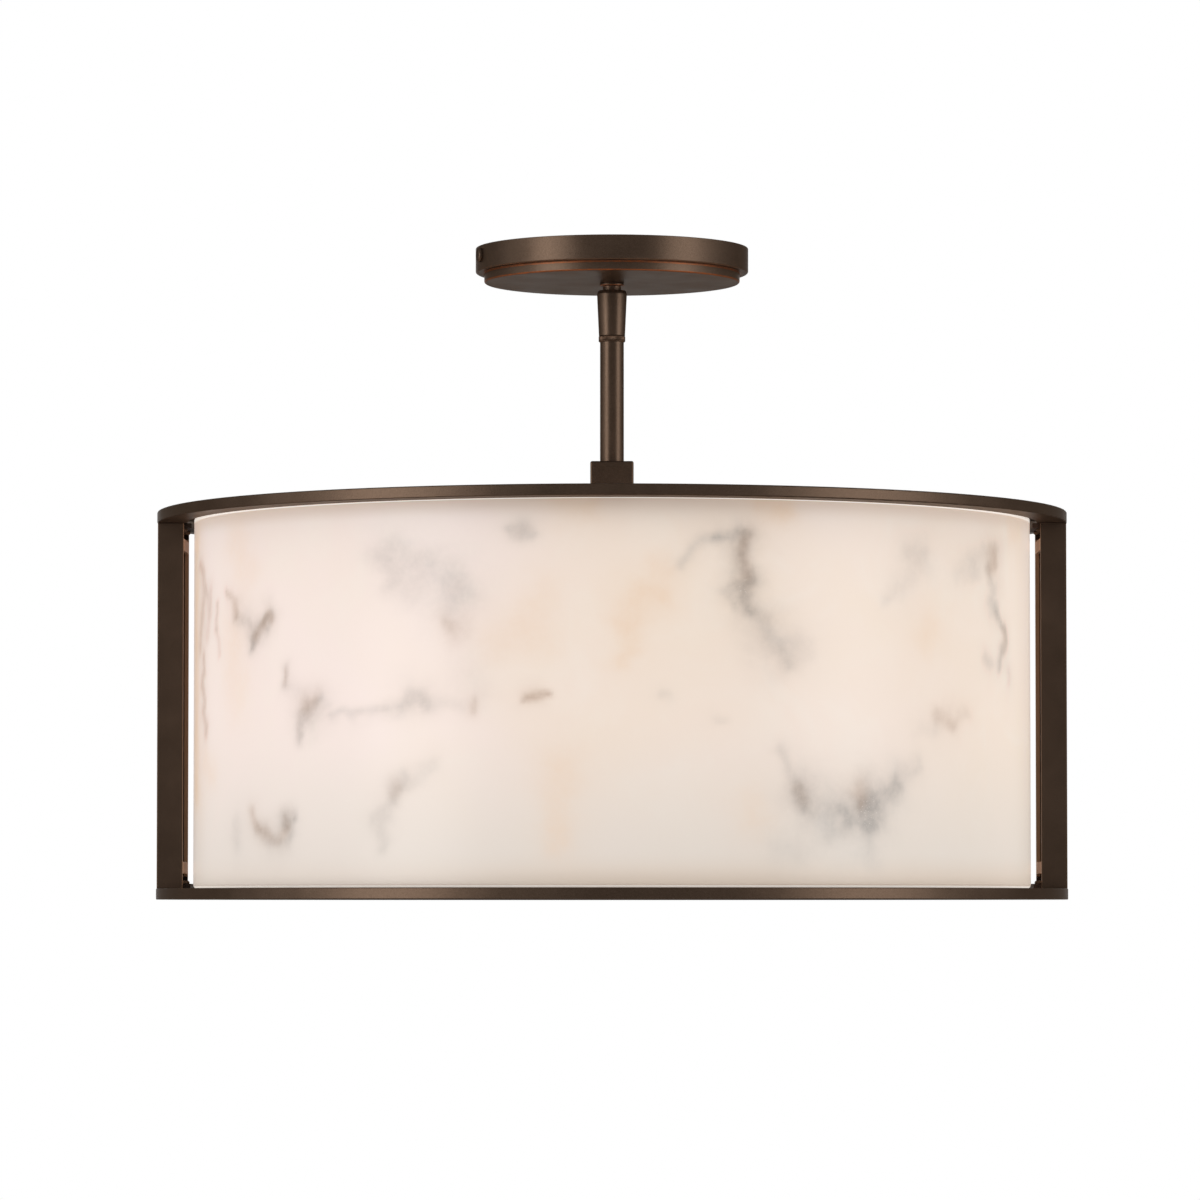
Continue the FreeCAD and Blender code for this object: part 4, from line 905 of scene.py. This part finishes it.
def diffuser_panel():
    """Round frosted panel with softened rims, bored at the middle."""
    low, high = node_levels("diffuser")
    radius, bore = node_radius("diffuser"), node_radius("finial_rod") + 0.15
    dress(turned_piece("round_diffuser", [
        (bore, high, 0.2, 0), (radius, high, 0.6, 0), (radius, low, 0.6, 0), (bore, low, 0.2, 0)],
        count=288), "diffuser")


EDISON_PITCH = 3.6
SHADE_WALL = 4.0
SHADE_ROUND = 1.9
SHADE_TOP_ROUND = 0.6
SHADE_GLEAM_DEPTH = 2.2
UPRIGHT_GLOW_REACH = 85.0
EDGE_GLOW_REACH = 5.0
CANOPY_STEP_INSET = 4.3
CANOPY_STEP_HEIGHT = 4.9

SOFTENED = (
    ("upright_left", "left_channel", 0.35), ("upright_right", "right_channel", 0.35),
    ("top_ring", "upper_ring", 0.25), ("hub_block", "square_hub", 0.3), ("spider_bar_x", "long_bar_x", 0.3),
    ("spider_bar_y", "long_bar_y", 0.3), ("arm_screws", "bar_screws", 0.1),
    ("upright_screws", "foot_screws", 0.12), ("canopy_screws", "side_screws", 0.12),
    ("box_strap", "box_bar", 0.25), ("canopy_strap", "eared_bar", 0.25),
    ("ground_screw", "green_screw", 0.12), ("strap_eyelet", "rolled_eyelet", 0.12),
    ("swivel_nut", "shank_nut", 0.3), ("swivel_washer", "shank_washer", 0.15),
    ("plate_nut", "nipple_nut", 0.35), ("rod_nut", "small_nut", 0.2),
    ("diffuser_washers", "panel_washers", 0.15), ("shade_clips", "corner_clips", 0.2),
    ("clip_rivets", "clip_pins", 0.08), ("wire_cup", "splice_cup", 0.25),
    ("socket_plate", "lamp_plate", 0.2), ("rod_coupler", "coupler", 0.15),
    ("hub_nipple", "long_nipple", 0.12), ("gimbal_ring", "gimbal", 0.15),
    ("socket_screws", "plate_screws", 0.1))

canopy()
swivel_neck()
swivel_sleeve()
lock_ring()
stem_tube()
lower_ring()
shade_wall()
finial_thread()
finial_knob()
diffuser_panel()
for lamp in (1, 2, 3):
    bulb_screw_base(lamp)
    socket_shell(lamp)
    bulb_body(lamp)
    bulb_globe(lamp)
    soft_copy(f"socket_body_{lamp}", f"moulded_socket_{lamp}", 0.15)
for node, name, width in SOFTENED:
    soft_copy(node, name, width, bronze_channel if node in ("upright_left", "upright_right") else None)


# ------------------------------------------------ floor, lights and camera
def floor():
    """Pale floor far below the light: white to the camera, faintly grey where the object shades it.

    Past 3 m from the middle it fades into the plain white of the surroundings, so its edge doesn't show.
    """
    bpy.ops.mesh.primitive_plane_add(size=16, location=(0, 0, FLOOR_LEVEL))
    plane = bpy.context.object
    plane.name = "floor"
    material, tree, shader, place = start_finish("pale_floor")
    feed(tree, shader, {"Base Color": (0.42, 0.42, 0.42, 1), "Roughness": 0.9})
    path = add(tree, "ShaderNodeLightPath").outputs
    seen = worked_out(tree, "MAXIMUM", path["Is Camera Ray"], path["Is Transmission Ray"])
    seen = worked_out(tree, "MAXIMUM", times(tree, path["Is Glossy Ray"], 0.1), seen)
    white = add(tree, "ShaderNodeEmission", {"Color": (1, 1, 1, 1), "Strength": 1.0}).outputs[0]
    from_middle = add(tree, "ShaderNodeVectorMath", {0: place}, operation="LENGTH").outputs["Value"]
    share = times(tree, seen, ranged(tree, from_middle, 3.0, 6.5, 0.92, 1.0, True))
    shown = add(tree, "ShaderNodeMixShader", {0: share, 1: shader.outputs[0], 2: white}).outputs[0]
    tree.links.new(shown, tree.nodes["Material Output"].inputs["Surface"])
    plane.data.materials.append(material)


def world():
    """Pale surroundings: white to the camera, and dimmer in reflections, where both sides are brighter."""
    studio = bpy.data.worlds.new("studio")
    studio.use_nodes = True
    bpy.context.scene.world = studio
    tree = studio.node_tree
    background = tree.nodes["Background"]
    path = add(tree, "ShaderNodeLightPath").outputs
    direction = axes_of(tree, add(tree, "ShaderNodeTexCoord").outputs["Generated"])
    sideways = worked_out(tree, "ABSOLUTE", direction["X"])
    aside = times(tree, ranged(tree, sideways, 0.6, 0.95, 0.0, 0.48, True),
                  ranged(tree, direction["Y"], 0.05, 0.3, 1.0, 0.0))
    behind = times(tree, ranged(tree, direction["Y"], 0.93, 0.985, 0.0, 1.0, True),
                   ranged(tree, direction["Z"], -0.14, -0.02, 0.2, 1.0))
    backdrop = worked_out(tree, "MAXIMUM", sum_of(tree, aside, 0.24), behind)
    steep = worked_out(tree, "ABSOLUTE", direction["Z"])
    level_light = ranged(tree, steep, 0.2, 0.95, AMBIENT, AMBIENT * 0.45, True)
    seen = worked_out(tree, "MAXIMUM", path["Is Camera Ray"], path["Is Transmission Ray"])
    shown = worked_out(tree, "MAXIMUM", seen, times(tree, path["Is Glossy Ray"], backdrop))
    neither = worked_out(tree, "SUBTRACT", 1.0, worked_out(tree, "MAXIMUM", seen, path["Is Glossy Ray"]))
    strength = sum_of(tree, shown, times(tree, neither, level_light))
    feed(tree, background, {"Color": (1, 1, 1, 1), "Strength": strength})


def soft_light(name, azimuth, elevation, distance, width, height, power):
    """Area light aimed at the middle of the drum. Azimuth 0 is the camera's side, and 90 the right."""
    light = bpy.data.lights.new(name, "AREA")
    light.shape, light.size, light.size_y, light.energy = "RECTANGLE", width, height, power
    lamp = new_object(name, light)
    turn, lift = math.radians(azimuth), math.radians(elevation)
    aim = Vector((0, 0, DRUM_MIDDLE))
    lamp.location = aim + distance * Vector((math.sin(turn) * math.cos(lift),
                                             -math.cos(turn) * math.cos(lift), math.sin(lift)))
    lamp.rotation_euler = (aim - lamp.location).to_track_quat("-Z", "Y").to_euler()


FLOOR_LEVEL = -4.2
DRUM_MIDDLE = -0.22
AMBIENT = 0.9
FOCAL_PIXELS = 6112            # of a 1200 pixel frame
CAMERA_DISTANCE = 3.075
CAMERA_LEVEL = -0.3314
PICTURE = 1200
AXIS_COLUMN = 612              # picture column of the light's axis
HORIZON_ROW = 906              # picture row at the camera's own height


def camera():
    """Long lens level with the bottom ring, turned up and a little aside to frame the light."""
    lens = bpy.data.cameras.new("camera")
    lens.sensor_width = 36
    lens.lens = FOCAL_PIXELS / PICTURE * lens.sensor_width
    lens.clip_end = 100
    view = new_object("camera", lens)
    view.location = (0, -CAMERA_DISTANCE, CAMERA_LEVEL)
    pitch = math.atan((HORIZON_ROW - PICTURE / 2) / FOCAL_PIXELS)
    yaw = math.atan((AXIS_COLUMN - PICTURE / 2) / FOCAL_PIXELS)
    view.rotation_euler = (math.pi / 2 + pitch, 0, yaw)
    bpy.context.scene.camera = view


floor()
world()
soft_light("left_softbox", -53, 3, 2.6, 1.35, 2.0, 20.5)
soft_light("right_softbox", 62, 3, 2.6, 1.45, 2.0, 16)
camera()
bpy.context.scene.view_settings.view_transform = "Standard"
